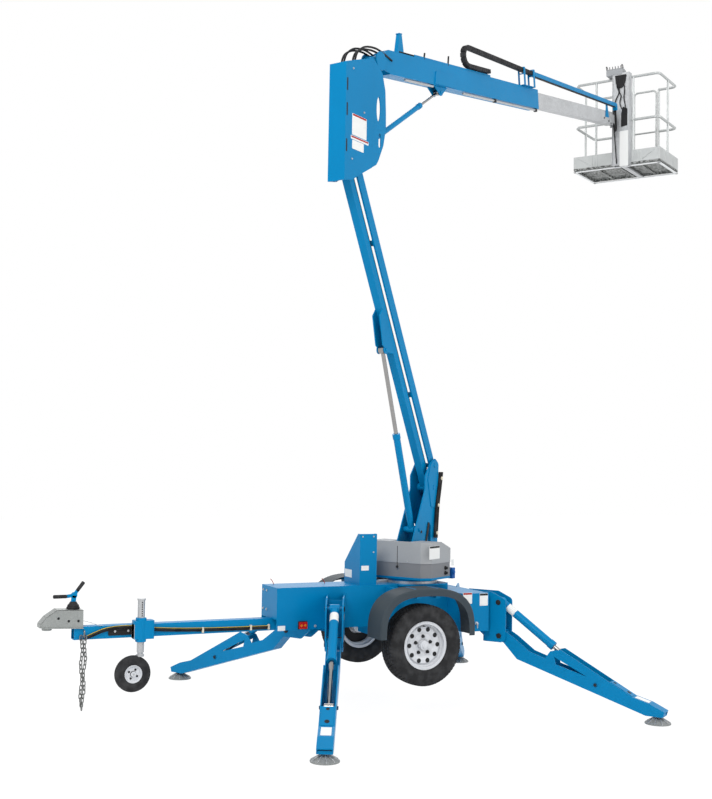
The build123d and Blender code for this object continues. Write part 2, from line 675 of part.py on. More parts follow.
# Boom rest on top of the box: folded plates with a slanting top
REST_REAR = 190
REST_FRONT = 350
REST_SIDE = 150
REST_PLATE = 6
REST_HIGH = 1455
REST_LOW = 1200
with BuildPart() as boom_rest:
    with BuildSketch(Plane.YZ.offset(REST_REAR)):
        polygon(
            ((-REST_SIDE, BOX_TOP), (-REST_SIDE, REST_LOW), (REST_SIDE - 40, REST_HIGH), (REST_SIDE, REST_HIGH), (REST_SIDE, BOX_TOP))
        )
    extrude(amount=REST_FRONT - REST_REAR)
    with BuildSketch(Plane.XY.offset(BOX_TOP)):
        with Locations(((REST_REAR + REST_FRONT) / 2, 0)):
            Rectangle(REST_FRONT - REST_REAR - 2 * REST_PLATE, 2 * REST_SIDE - 2 * REST_PLATE)
    extrude(amount=REST_HIGH, mode=Mode.SUBTRACT)
save(boom_rest.part, "boom_rest")

# Slewing ring: lower race on the deck of the box, upper race and spigot under the turntable's deck
RING_WALL = 40
DECK_LEVEL = BOX_TOP + RING_HEIGHT


def deck_plane(height):
    """Level plane of the turntable: x runs out along the boom."""
    return Plane(origin=slew_centre + Vector(0, 0, height), x_dir=boom_out, z_dir=(0, 0, 1))


with BuildPart() as slew_ring:
    with BuildSketch(deck_plane(BOX_TOP)):
        Circle(RING_DIAMETER / 2)
        Circle(RING_DIAMETER / 2 - RING_WALL, mode=Mode.SUBTRACT)
    extrude(amount=RING_HEIGHT / 2)
save(slew_ring.part, "slew_ring")
with BuildPart() as deck:
    with BuildSketch(deck_plane(BOX_TOP + RING_HEIGHT / 2 + BEARING_GAP)):
        Circle(RING_DIAMETER / 2)
    extrude(amount=RING_HEIGHT / 2 - BEARING_GAP)
    with BuildSketch(deck_plane(BOX_TOP + BEARING_GAP)):
        Circle(RING_DIAMETER / 2 - RING_WALL - BEARING_GAP)
    extrude(amount=RING_HEIGHT)
    with BuildSketch(deck_plane(DECK_LEVEL)) as deck_outline:
        Rectangle(2 * COVER_REACH, 2 * COVER_SIDE)
        chamfer(deck_outline.vertices(), length=COVER_CORNER)
        with Locations((COVER_REACH + 30, 0)):
            Rectangle(180, 2 * PLATE_THICKNESS + PLATE_GAP + 20)
    extrude(amount=DECK_THICKNESS)
save(deck.part, "turntable_deck")

# Turntable covers: a dark tray all round and a grey hood that slopes down at the back, both open for the riser
FLOOR_LEVEL = DECK_LEVEL + DECK_THICKNESS
TRAY_TOP = 1204
RISER_KNEE = 1728
RISER_BACK = -190
RISER_SLOT = PLATE_GAP + 2 * PLATE_THICKNESS + 16
TRAY_INSET = 3
with BuildPart() as tray:
    with BuildSketch(deck_plane(FLOOR_LEVEL)) as tray_outline:
        Rectangle(2 * (COVER_REACH - TRAY_INSET), 2 * (COVER_SIDE - TRAY_INSET))
        chamfer(tray_outline.vertices(), length=COVER_CORNER)
        offset(amount=-COVER_WALL, mode=Mode.SUBTRACT)
        with Locations((RISER_BACK - 8 + COVER_REACH, 0)):
            Rectangle(2 * COVER_REACH, RISER_SLOT, mode=Mode.SUBTRACT)
    extrude(amount=TRAY_TOP - FLOOR_LEVEL)
save(tray.part, "turntable_tray")
with BuildPart() as hood:
    with BuildSketch(boom_plane(-COVER_SIDE)):
        polygon(
            (
                (-COVER_REACH, TRAY_TOP),
                (-COVER_REACH, COVER_TOP),
                (0, COVER_TOP),
                (COVER_REACH, COVER_TOP - 85),
                (COVER_REACH, TRAY_TOP),
            )
        )
    extrude(amount=2 * COVER_SIDE)
    chamfer(hood.edges().filter_by(Axis.Z), length=COVER_CORNER)
    offset(amount=-COVER_WALL, openings=hood.faces().sort_by(Axis.Z)[0])
    with BuildSketch(deck_plane(TRAY_TOP)):
        with Locations((RISER_BACK - 8 + COVER_REACH, 0)):
            Rectangle(2 * COVER_REACH, RISER_SLOT)
    extrude(amount=COVER_TOP, mode=Mode.SUBTRACT)
save(hood.part, "turntable_hood")

# Batteries inside the covers, beside the riser
with BuildPart() as batteries:
    for side in (-1, 1):
        with BuildSketch(deck_plane(FLOOR_LEVEL)):
            with Locations((-20, side * 185)):
                Rectangle(310, 150)
        extrude(amount=200)
save(batteries.part, "battery_pack")

# Riser: two side plates with doublers, joined by webs, carrying the pins of both lower arms and of their cylinder
plate_side = PLATE_GAP / 2
arm_x, arm_z = ARM_PIN
link_x, link_z = LINK_PIN
riser_outline = (
    (RISER_BACK, FLOOR_LEVEL),
    (RISER_BACK, 1265),
    (arm_x - 146, arm_z - 13),
    (arm_x - 149, arm_z + 102),
    (link_x - 72, link_z + 21),
    (link_x + 10, link_z + 66),
    (link_x + 74, link_z + 14),
    (link_x + 64, RISER_KNEE),
    (arm_x + 87, FLOOR_LEVEL),
)
with BuildPart() as riser:
    for side in (plate_side, -plate_side):
        with BuildSketch(between(boom_plane(), side, PLATE_THICKNESS)):
            rounded(riser_outline, (1, 30, 30, 30, 40, 40, 50, 60, 1))
            with Locations((160, 1430)):
                SlotOverall(190, 46, rotation=90, mode=Mode.SUBTRACT)
        extrude(amount=PLATE_THICKNESS)
        with BuildSketch(between(boom_plane(), side + (PLATE_THICKNESS if side > 0 else -PLATE_THICKNESS), 6)):
            rounded(
                (
                    (link_x - 66, link_z + 18),
                    (arm_x - 110, arm_z + 70),
                    (arm_x - 75, arm_z - 60),
                    (arm_x - 45, arm_z - 178),
                    (arm_x + 15, arm_z - 178),
                    (arm_x + 70, arm_z + 40),
                    (link_x + 66, link_z + 14),
                    (link_x + 10, link_z + 58),
                ),
                (36, 30, 20, 26, 26, 30, 40, 40),
            )
        extrude(amount=6)
    with BuildSketch(boom_plane(-plate_side)):
        polygon(
            (
                (arm_x + 87, FLOOR_LEVEL),
                (link_x + 64, RISER_KNEE),
                (link_x + 67, link_z - 40),
                (link_x + 60, link_z - 40),
                (link_x + 57, RISER_KNEE),
                (arm_x + 79, FLOOR_LEVEL),
            )
        )
        polygon(
            (
                (RISER_BACK, FLOOR_LEVEL),
                (RISER_BACK + 8, FLOOR_LEVEL),
                (RISER_BACK + 8, 1263),
                (RISER_BACK + 58, 1370),
                (RISER_BACK + 50, 1374),
                (RISER_BACK, 1265),
            )
        )
    extrude(amount=PLATE_GAP)
    pin_width = PLATE_GAP + 2 * PLATE_THICKNESS + 20
    cross_pin(boom_plane(), ARM_PIN, PIN_DIAMETER, pin_width)
    cross_pin(boom_plane(), LINK_PIN, PIN_DIAMETER, pin_width)
    cross_pin(boom_plane(), ARM_RAM_BASE, SMALL_PIN_DIAMETER, pin_width)
    for side in (38, -38):
        with BuildSketch(between(boom_plane(), side, plate_side - 38)):
            with Locations(ARM_RAM_BASE):
                Circle(26)
        extrude(amount=plate_side - 38)
save(riser.part, "riser")


def lengthwise(place, angle, side=0):
    """Plane along a member of the boom: x runs along it from place, y square to it, side towards the left."""
    x_dir = boom_out * cos(radians(angle)) + Vector(0, 0, sin(radians(angle)))
    return Plane(origin=boom_point(place, side), x_dir=x_dir, z_dir=boom_side)


def section(place, angle, length=0, rise=0):
    """Plane square to a member of the boom, length along it: x runs across the boom."""
    z_dir = boom_out * cos(radians(angle)) + Vector(0, 0, sin(radians(angle)))
    return Plane(origin=boom_point(along(place, angle, length, rise)), x_dir=boom_side, z_dir=z_dir)


# Lower boom: a closed tube with a hinge tube at each end and the ears for its cylinder
arm_direction = 180 - ARM_ANGLE
arm_plane = lengthwise(ARM_PIN, arm_direction)
arm_top = along(ARM_PIN, arm_direction, ARM_LENGTH)
link_top = along(LINK_PIN, arm_direction, ARM_LENGTH)
BOSS_RADIUS = 38
LINK_BOSS_RADIUS = 46
ear_run = (ARM_RAM_EYE[0] - ARM_PIN[0], ARM_RAM_EYE[1] - ARM_PIN[1])
arm_turn = radians(arm_direction)
ear_along = ear_run[0] * cos(arm_turn) + ear_run[1] * sin(arm_turn)
ear_off = ear_run[1] * cos(arm_turn) - ear_run[0] * sin(arm_turn)
boss_width = PLATE_GAP - 2 * SIDE_FIT
with BuildPart() as lower_boom:
    with BuildSketch(section(ARM_PIN, arm_direction, 20)):
        Rectangle(ARM_WIDTH, ARM_HEIGHT)
    extrude(amount=ARM_LENGTH - 40)
    with BuildSketch(section(ARM_PIN, arm_direction, 60)):
        Rectangle(ARM_WIDTH - 2 * ARM_WALL, ARM_HEIGHT - 2 * ARM_WALL)
    extrude(amount=ARM_LENGTH - 120, mode=Mode.SUBTRACT)
    for place in (0, ARM_LENGTH):
        cross_pin(arm_plane, (place, 0), 2 * BOSS_RADIUS, boss_width)
    for side in (30, -30):
        with BuildSketch(between(arm_plane, side, 10)):
            polygon(
                (
                    (ear_along - 80, ARM_HEIGHT / 2 - 4),
                    (ear_along - 34, ear_off - 18),
                    (ear_along, ear_off),
                    (ear_along + 56, ear_off + 30),
                    (ear_along + 298, 94),
                    (ear_along + 330, ARM_HEIGHT / 2 - 4),
                )
            )
            with Locations((ear_along, ear_off)):
                Circle(34)
        extrude(amount=10)
    for side in (29, -29):
        with BuildSketch(between(arm_plane, side, 16)):
            with Locations((ear_along, ear_off)):
                Circle(SMALL_PIN_DIAMETER / 2)
        extrude(amount=16)
    for place in (0, ARM_LENGTH):
        cross_pin(arm_plane, (place, 0), PIN_DIAMETER + 2 * PIN_FIT, boss_width + 2, Mode.SUBTRACT)
save(lower_boom.part, "lower_boom")

# Level link: two flat bars with cross tubes, one each side of the lower boom's line
link_plane = lengthwise(LINK_PIN, arm_direction)
LINK_INSIDE = 44
LINK_BAR = 16
with BuildPart() as level_link:
    for side in (LINK_INSIDE, -LINK_INSIDE):
        with BuildSketch(between(link_plane, side, LINK_BAR)):
            with Locations((ARM_LENGTH / 2, 0)):
                Rectangle(ARM_LENGTH, LINK_HEIGHT)
            with Locations((0, 0), (ARM_LENGTH, 0)):
                Circle(LINK_BOSS_RADIUS)
        extrude(amount=LINK_BAR)
        with BuildSketch(between(link_plane, side, boss_width / 2 - LINK_INSIDE)):
            with Locations((0, 0), (ARM_LENGTH, 0)):
                Circle(LINK_BOSS_RADIUS - 8)
        extrude(amount=boss_width / 2 - LINK_INSIDE)
    for place in (700, ARM_LENGTH - 880):
        cross_pin(link_plane, (place, 0), 50, 2 * LINK_INSIDE + 4)
    for place in (0, ARM_LENGTH):
        cross_pin(link_plane, (place, 0), PIN_DIAMETER + 2 * PIN_FIT, boss_width + 2, Mode.SUBTRACT)
save(level_link.part, "level_link")

# Lower lift cylinder
lower_ram = ram_plane(slew_centre, boom_out, ARM_RAM_BASE, ARM_RAM_EYE)
lower_span = hypot(ARM_RAM_EYE[0] - ARM_RAM_BASE[0], ARM_RAM_EYE[1] - ARM_RAM_BASE[1])
save(make_barrel(lower_ram, ARM_RAM_BARREL, 60, 36, 230, 34, 72, SMALL_PIN_DIAMETER), "lower_ram_barrel")
save(make_rod(lower_ram, lower_span, 848, 36, 32, 48, SMALL_PIN_DIAMETER), "lower_ram_rod")

# Elbow frame: two shaped side plates with a back sheet, a web that carries the upper cylinder, and three pins
top_x, top_z = arm_top
boom_x, boom_z = BOOM_PIN
base_x, base_z = BOOM_RAM_BASE
elbow_outline = (
    (ELBOW_BACK, top_z - 161),
    (top_x + 3, top_z - 140),
    (top_x + 135, top_z - 63),
    (base_x - 40, base_z - 218),
    (base_x - 10, base_z - 177),
    (base_x + 65, base_z - 33),
    (base_x + 101, base_z + 121),
    (base_x + 97, base_z + 257),
    (boom_x + 68, boom_z - 237),
    (boom_x + 16, boom_z - 98),
    (boom_x - 128, boom_z - 13),
    (ELBOW_BACK, boom_z - 158),
)
WEB_LEVEL = base_z + 98
with BuildPart() as elbow:
    for side in (plate_side, -plate_side):
        with BuildSketch(between(boom_plane(), side, ELBOW_PLATE)):
            rounded(elbow_outline, (20, 30, 30, 20, 20, 30, 40, 40, 30, 20, 20, 30))
            with Locations(BOOM_PIN):
                Circle(78)
            with Locations((boom_x - 35, base_z + 256)):
                Ellipse(30, 104, mode=Mode.SUBTRACT)
            with Locations((base_x + 5, base_z - 4)):
                SlotOverall(120, 35, rotation=90, mode=Mode.SUBTRACT)
        extrude(amount=ELBOW_PLATE)
    with BuildSketch(boom_plane(-plate_side)):
        polygon(
            (
                (ELBOW_BACK, top_z - 161),
                (ELBOW_BACK + 6, top_z - 161),
                (ELBOW_BACK + 6, boom_z - 162),
                (ELBOW_BACK, boom_z - 162),
            )
        )
        polygon(
            (
                (ELBOW_BACK + 100, WEB_LEVEL),
                (base_x - 30, WEB_LEVEL),
                (base_x - 30, WEB_LEVEL + 10),
                (ELBOW_BACK + 100, WEB_LEVEL + 10),
            )
        )
    extrude(amount=PLATE_GAP)
    for side in (27, -27):
        with BuildSketch(between(boom_plane(), side, 10)):
            polygon(
                (
                    (base_x - 150, WEB_LEVEL + 5),
                    (base_x - 30, WEB_LEVEL + 5),
                    (base_x + 26, base_z + 20),
                    (base_x, base_z),
                    (base_x - 24, base_z - 24),
                )
            )
            with Locations(BOOM_RAM_BASE):
                Circle(34)
        extrude(amount=10)
    for place in (arm_top, link_top, BOOM_PIN):
        cross_pin(boom_plane(), place, PIN_DIAMETER, PLATE_GAP + 2 * ELBOW_PLATE)
    cross_pin(boom_plane(), BOOM_RAM_BASE, SMALL_PIN_DIAMETER, 74)
save(elbow.part, "elbow_frame")

# Elbow cover: thin wings over the back of both plates, joined round the back
COVER_SEAM = boom_x - 128
cover_skin = 3
with BuildPart() as elbow_cover:
    for side in (plate_side + ELBOW_PLATE, -plate_side - ELBOW_PLATE):
        with BuildSketch(between(boom_plane(), side, cover_skin)):
            polygon(
                (
                    (ELBOW_BACK - cover_skin, top_z - 161),
                    (top_x + 3, top_z - 140),
                    (top_x + 135, top_z - 63),
                    (COVER_SEAM, top_z + 23),
                    (COVER_SEAM, boom_z - 18),
                    (ELBOW_BACK - cover_skin, boom_z - 160),
                )
            )
        extrude(amount=cover_skin)
    with BuildSketch(boom_plane(-plate_side - ELBOW_PLATE)):
        polygon(
            (
                (ELBOW_BACK - cover_skin, top_z - 161),
                (ELBOW_BACK, top_z - 161),
                (ELBOW_BACK, boom_z - 160),
                (ELBOW_BACK - cover_skin, boom_z - 160),
            )
        )
    extrude(amount=PLATE_GAP + 2 * ELBOW_PLATE)
save(elbow_cover.part, "elbow_cover")

# Upper boom: head plates round its pin, a rectangular tube with a wear collar at its mouth, and the cylinder's ears
boom_line = lengthwise(BOOM_PIN, BOOM_ANGLE)
half_height = BOOM_HEIGHT / 2
eye_run = (BOOM_RAM_EYE[0] - boom_x, BOOM_RAM_EYE[1] - boom_z)
boom_turn = radians(BOOM_ANGLE)
eye_along = eye_run[0] * cos(boom_turn) + eye_run[1] * sin(boom_turn)
eye_off = eye_run[1] * cos(boom_turn) - eye_run[0] * sin(boom_turn)
EYE_SLOT = 64
with BuildPart() as upper_boom:
    with BuildSketch(section(BOOM_PIN, BOOM_ANGLE, BOOM_START, BOOM_RISE)):
        Rectangle(BOOM_WIDTH, BOOM_HEIGHT)
    extrude(amount=BOOM_LENGTH - BOOM_START)
    with BuildSketch(section(BOOM_PIN, BOOM_ANGLE, BOOM_START + 8, BOOM_RISE)):
        Rectangle(BOOM_WIDTH - 2 * BOOM_WALL, BOOM_HEIGHT - 2 * BOOM_WALL)
    extrude(amount=BOOM_LENGTH - BOOM_START, mode=Mode.SUBTRACT)
    with BuildSketch(section(BOOM_PIN, BOOM_ANGLE, BOOM_LENGTH - 60, BOOM_RISE)):
        Rectangle(BOOM_WIDTH - BOOM_WALL, BOOM_HEIGHT - BOOM_WALL)
        Rectangle(FLY_WIDTH + 2 * PIN_FIT, FLY_HEIGHT + 2 * PIN_FIT, mode=Mode.SUBTRACT)
    extrude(amount=60)
    with BuildSketch(boom_line.offset(-EYE_SLOT / 2)):
        with Locations((eye_along + 18, BOOM_RISE - half_height)):
            Rectangle(185, 3 * BOOM_WALL)
    extrude(amount=EYE_SLOT, mode=Mode.SUBTRACT)
    for side in (BOOM_WIDTH / 2 - 8, 8 - BOOM_WIDTH / 2):
        with BuildSketch(between(boom_line, side, 8)):
            polygon(
                (
                    (-45, -35),
                    (-45, 30),
                    (0, 55),
                    (BOOM_START + 15, BOOM_RISE + half_height),
                    (BOOM_START + 50, BOOM_RISE + half_height),
                    (BOOM_START + 50, BOOM_RISE - half_height),
                    (77, -69),
                )
            )
            Circle(60)
        extrude(amount=8)
    cross_pin(boom_line, (0, 0), 2 * 50, boss_width)
    for side in (EYE_SLOT / 2, -EYE_SLOT / 2):
        with BuildSketch(between(boom_line, side, 10)):
            polygon(
                (
                    (eye_along - 122, BOOM_RISE - half_height + 4),
                    (eye_along - 30, eye_off - 16),
                    (eye_along + 30, eye_off - 16),
                    (eye_along + 122, BOOM_RISE - half_height + 4),
                )
            )
            with Locations((eye_along, eye_off)):
                Circle(34)
        extrude(amount=10)
        with BuildSketch(between(boom_line, side, 16)):
            with Locations((eye_along, eye_off)):
                Circle(SMALL_PIN_DIAMETER / 2)
        extrude(amount=16)
    for side in (BOOM_WIDTH / 2, -BOOM_WIDTH / 2):
        with BuildSketch(between(boom_line, side, 8)):
            polygon(
                (
                    (eye_along - 152, BOOM_RISE - half_height + 6),
                    (eye_along + 220, BOOM_RISE - half_height + 6),
                    (eye_along + 285, BOOM_RISE + 20),
                    (eye_along - 120, BOOM_RISE + 20),
                )
            )
        extrude(amount=8)
    cross_pin(boom_line, (0, 0), PIN_DIAMETER + 2 * PIN_FIT, boss_width + 2, Mode.SUBTRACT)
save(upper_boom.part, "upper_boom")

# Upper lift cylinder
upper_ram = ram_plane(slew_centre, boom_out, BOOM_RAM_BASE, BOOM_RAM_EYE)
upper_span = hypot(BOOM_RAM_EYE[0] - base_x, BOOM_RAM_EYE[1] - base_z)
save(make_barrel(upper_ram, BOOM_RAM_BARREL, 46, 24, 100, 28, 48, SMALL_PIN_DIAMETER), "upper_ram_barrel")
save(make_rod(upper_ram, upper_span, 873, 24, 28, 46, SMALL_PIN_DIAMETER), "upper_ram_rod")

# Fly boom: a smaller tube inside the upper boom, with a wear collar at its inner end and cheeks for the platform's pin
FLY_PIVOT = (FLY_TIP + 62, 6)
fly_start = BOOM_LENGTH - FLY_INSIDE
fly_pivot_place = along(BOOM_PIN, BOOM_ANGLE, *FLY_PIVOT)
with BuildPart() as fly_boom:
    with BuildSketch(section(BOOM_PIN, BOOM_ANGLE, fly_start, BOOM_RISE)):
        Rectangle(FLY_WIDTH, FLY_HEIGHT)
        Rectangle(FLY_WIDTH - 2 * FLY_WALL, FLY_HEIGHT - 2 * FLY_WALL, mode=Mode.SUBTRACT)
    extrude(amount=FLY_TIP - fly_start)
    with BuildSketch(section(BOOM_PIN, BOOM_ANGLE, fly_start, BOOM_RISE)):
        Rectangle(BOOM_WIDTH - 2 * BOOM_WALL - 2 * PIN_FIT, BOOM_HEIGHT - 2 * BOOM_WALL - 2 * PIN_FIT)
        Rectangle(FLY_WIDTH - FLY_WALL, FLY_HEIGHT - FLY_WALL, mode=Mode.SUBTRACT)
    extrude(amount=60)
    for side in (FLY_WIDTH / 2, -FLY_WIDTH / 2):
        with BuildSketch(between(boom_line, side, 8)):
            polygon(
                (
                    (FLY_TIP - 120, BOOM_RISE - 60),
                    (FLY_TIP - 120, BOOM_RISE + 60),
                    (FLY_PIVOT[0], FLY_PIVOT[1] + 45),
                    (FLY_PIVOT[0], FLY_PIVOT[1] - 45),
                )
            )
            with Locations(FLY_PIVOT):
                Circle(45)
        extrude(amount=8)
    cross_pin(boom_line, FLY_PIVOT, PIN_DIAMETER, FLY_WIDTH + 30)
save(fly_boom.part, "fly_boom")

# Platform, built about the upright plane of the boom
platform_end = PLATFORM_START + PLATFORM_DEPTH
platform_side = PLATFORM_WIDTH / 2
rail_inset = RAIL_DIAMETER / 2
MAST_REACH = 86
MAST_INNER = -14
MAST_OUTER = 200
MAST_TOP = 6930
MAST_BOTTOM = PLATFORM_FLOOR - 44
MID_RAIL = 540
GATE_HINGE = -45
GATE_LATCH = 315
GATE_TUBE = 25
pivot_x, pivot_z = fly_pivot_place
with BuildPart() as mast:
    with BuildSketch(deck_plane(MAST_BOTTOM)):
        with Locations((PLATFORM_START - MAST_REACH / 2, -(MAST_INNER + MAST_OUTER) / 2)):
            Rectangle(MAST_REACH, MAST_OUTER - MAST_INNER)
            Rectangle(MAST_REACH - 12, MAST_OUTER - MAST_INNER - 12, mode=Mode.SUBTRACT)
    extrude(amount=MAST_TOP - MAST_BOTTOM)
    for side in (FLY_WIDTH / 2 - 16, 16 - FLY_WIDTH / 2):
        with BuildSketch(between(boom_plane(), side, 12)):
            polygon(
                (
                    (pivot_x, pivot_z - 42),
                    (PLATFORM_START - MAST_REACH + 3, pivot_z - 60),
                    (PLATFORM_START - MAST_REACH + 3, pivot_z + 60),
                    (pivot_x, pivot_z + 42),
                )
            )
            with Locations(fly_pivot_place):
                Circle(42)
        extrude(amount=12)
    with BuildSketch(boom_plane(-FLY_WIDTH / 2)):
        with Locations((PLATFORM_START - MAST_REACH, pivot_z)):
            Rectangle(8, 150)
    extrude(amount=MAST_OUTER + FLY_WIDTH / 2)
    with BuildSketch(deck_plane(MAST_BOTTOM)):
        with Locations((PLATFORM_START + PLATFORM_DEPTH / 2, -(MAST_INNER + MAST_OUTER) / 2)):
            Rectangle(PLATFORM_DEPTH, 60)
    extrude(amount=20)
    cross_pin(boom_plane(), fly_pivot_place, PIN_DIAMETER + 2 * PIN_FIT, FLY_WIDTH, Mode.SUBTRACT)
save(mast.part, "platform_mast")
FRAME_HEIGHT = 24
TREAD_EDGE = 45
with BuildPart() as floor:
    with BuildSketch(deck_plane(PLATFORM_FLOOR - FRAME_HEIGHT)):
        with Locations((PLATFORM_START + PLATFORM_DEPTH / 2, 0)):
            Rectangle(PLATFORM_DEPTH, PLATFORM_WIDTH)
            Rectangle(PLATFORM_DEPTH - 60, PLATFORM_WIDTH - 60, mode=Mode.SUBTRACT)
            with GridLocations(0, PLATFORM_WIDTH / 4, 1, 3):
                Rectangle(PLATFORM_DEPTH - 40, 30)
    extrude(amount=FRAME_HEIGHT - 3)
    with BuildSketch(deck_plane(PLATFORM_FLOOR - 3)):
        with Locations((PLATFORM_START + PLATFORM_DEPTH / 2, 0)):
            Rectangle(PLATFORM_DEPTH, PLATFORM_WIDTH)
    extrude(amount=3)
    with BuildSketch(deck_plane(PLATFORM_FLOOR)):
        with Locations((PLATFORM_START + PLATFORM_DEPTH / 2, 0)):
            Rectangle(PLATFORM_DEPTH - 2 * TREAD_EDGE, PLATFORM_WIDTH - 2 * TREAD_EDGE)
    extrude(amount=3)
save(floor.part, "platform_floor")
with BuildPart() as toe_boards:
    with BuildSketch(deck_plane(PLATFORM_FLOOR)):
        with Locations((PLATFORM_START + PLATFORM_DEPTH / 2, 0)):
            Rectangle(PLATFORM_DEPTH, PLATFORM_WIDTH)
            Rectangle(PLATFORM_DEPTH - 6, PLATFORM_WIDTH - 6, mode=Mode.SUBTRACT)
    extrude(amount=TOE_HEIGHT)
save(toe_boards.part, "toe_boards")
near = PLATFORM_START + rail_inset + 3
far = platform_end - rail_inset - 3
left = platform_side - rail_inset - 3
top_rail = PLATFORM_FLOOR + RAIL_HEIGHT - rail_inset
# Posts of the platform: distance out, place to the left, height above the top rail's centre
posts = (
    ((near + far) / 2, -left, 0),
    ((near + far) / 2, left, 0),
    (near, -268, 0),
    (near, MAST_OUTER + rail_inset, 0),
    (far, GATE_HINGE, rail_inset + 2),
    (far, GATE_LATCH, rail_inset + 2),
)
with BuildPart() as rails:
    for height in (top_rail - MID_RAIL, top_rail):
        with BuildLine(deck_plane(height)) as route:
            FilletPolyline(
                (far, 2 - GATE_HINGE), (far, left), (near, left), (near, -left), (far, -left), (far, -GATE_LATCH - 2), radius=60
            )
        with BuildSketch(Plane(origin=boom_point((far, height), GATE_HINGE - 2), z_dir=boom_side)):
            Circle(rail_inset)
        sweep(path=route.wires()[0])
    for out, place, above in posts:
        bar(boom_point((out, PLATFORM_FLOOR), place), boom_point((out, top_rail + above), place), POST_DIAMETER)
save(rails.part, "platform_rails")
gate_outer = GATE_LATCH - rail_inset - GATE_TUBE / 2 - 5
gate_inner = GATE_HINGE + rail_inset + GATE_TUBE / 2 + 8
gate_low = PLATFORM_FLOOR + TOE_HEIGHT + 30
gate_high = top_rail - 3
gate_plane = Plane(origin=boom_point((far, 0), 0), x_dir=boom_side, z_dir=-boom_out)
with BuildPart() as gate:
    with BuildLine(gate_plane) as route:
        FilletPolyline(
            (gate_inner, gate_low),
            (gate_outer, gate_low),
            (gate_outer, gate_high),
            (gate_inner, gate_high),
            radius=45,
            close=True,
        )
    with BuildSketch(Plane(origin=boom_point((far, gate_low), (gate_inner + gate_outer) / 2), z_dir=boom_side)):
        Circle(GATE_TUBE / 2)
    sweep(path=route.wires()[0])
    middle = top_rail - MID_RAIL
    bar(boom_point((far, middle), gate_inner), boom_point((far, middle), gate_outer), GATE_TUBE - 4)
    for height in (gate_low + 90, gate_high - 150):
        bar(boom_point((far, height), GATE_HINGE), boom_point((far, height), gate_inner), 18)
        bar(boom_point((far, height - 30), GATE_HINGE), boom_point((far, height + 30), GATE_HINGE), POST_DIAMETER + 14)
    for height in (gate_low + 90, gate_high - 150):
        with Locations(boom_point((far, height), GATE_HINGE)):
            Cylinder(POST_DIAMETER / 2 + PIN_FIT, 70, mode=Mode.SUBTRACT)
save(gate.part, "platform_gate")

# Control box on the mast, with its switches and two guard loops
BOX_INNER = -98
BOX_OUTER = 110
BOX_LOW = MAST_TOP
BOX_HIGH = MAST_TOP + 110
with BuildPart() as control_box:
    with BuildSketch(boom_plane(BOX_INNER)):
        polygon(
            (
                (PLATFORM_START - MAST_REACH + 10, BOX_LOW),
                (PLATFORM_START - MAST_REACH + 10, BOX_HIGH - 30),
                (PLATFORM_START - MAST_REACH + 40, BOX_HIGH),
                (PLATFORM_START + 60, BOX_HIGH),
                (PLATFORM_START + 80, BOX_HIGH - 30),
                (PLATFORM_START + 80, BOX_LOW),
            )
        )
    extrude(amount=BOX_OUTER - BOX_INNER)
save(control_box.part, "control_box")
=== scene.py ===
import json
from math import copysign, cos, pi, radians, sin

import bmesh
import bpy
from mathutils import Matrix, Vector


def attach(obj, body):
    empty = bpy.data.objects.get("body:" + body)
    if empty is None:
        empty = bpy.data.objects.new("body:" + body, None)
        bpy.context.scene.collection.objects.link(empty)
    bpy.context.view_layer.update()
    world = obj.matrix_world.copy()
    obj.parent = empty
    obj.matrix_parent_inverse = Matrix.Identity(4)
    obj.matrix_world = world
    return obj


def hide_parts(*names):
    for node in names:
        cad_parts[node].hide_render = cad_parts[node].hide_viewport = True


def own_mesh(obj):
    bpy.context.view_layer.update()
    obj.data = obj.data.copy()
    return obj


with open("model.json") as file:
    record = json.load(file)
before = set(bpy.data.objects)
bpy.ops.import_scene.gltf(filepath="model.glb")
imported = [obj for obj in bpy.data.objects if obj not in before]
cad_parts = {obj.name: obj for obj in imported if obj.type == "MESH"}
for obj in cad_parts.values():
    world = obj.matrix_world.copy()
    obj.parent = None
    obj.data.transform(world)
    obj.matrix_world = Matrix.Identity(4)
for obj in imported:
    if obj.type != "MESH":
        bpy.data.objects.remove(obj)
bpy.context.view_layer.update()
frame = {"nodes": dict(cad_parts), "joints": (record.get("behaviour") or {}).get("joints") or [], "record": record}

# The frame is in metres: +X to the hitch, +Y to the left, +Z up, and the floor at z = 0.
joints = {joint["name"]: joint for joint in frame["joints"]}
node_slots = {part["node"]: part["material_slot"] for part in frame["record"]["subparts"]}

ORIGIN = Vector((0, 0, 0))
FRONT = Vector((1, 0, 0))
LEFT = Vector((0, 1, 0))
UP = Vector((0, 0, 1))
SIDES = (("left", 1), ("right", -1))
# Rise of the upper boom and lean of the lower arm at rest
BOOM_ANGLE = radians(9.3)
ARM_ANGLE = radians(118.25)


def pin(name):
    """Where a joint's axis passes."""
    return Vector(joints[name]["pos_m"])


slew_axis = pin("slew")
slew_axis.z = 0
boom_out = pin("lower_lift") - slew_axis
boom_out.z = 0
boom_out.normalize()
boom_side = boom_out.cross(UP)


def axes(origin, x_dir, y_dir):
    """Matrix that places (x, y, z) at an origin, with z square to both directions."""
    z_dir = x_dir.cross(y_dir)
    place = Matrix((x_dir, y_dir, z_dir)).transposed().to_4x4()
    place.translation = origin
    return place


def member(origin, angle):
    """Axes along a member of the boom: x along it, y square to it, z to the boom's right."""
    x_dir = boom_out * cos(angle) + UP * sin(angle)
    y_dir = UP * cos(angle) - boom_out * sin(angle)
    return axes(origin, x_dir, y_dir)


def back_face(distance):
    """Axes on a face at a distance out along the boom: x to the boom's right, y up, z back."""
    return axes(slew_axis + boom_out * distance, boom_side, UP)


def along(place, points, side):
    """Points at one level to the side, from pairs in the x and y of some axes."""
    return [place @ Vector((x, y, side)) for x, y in points]


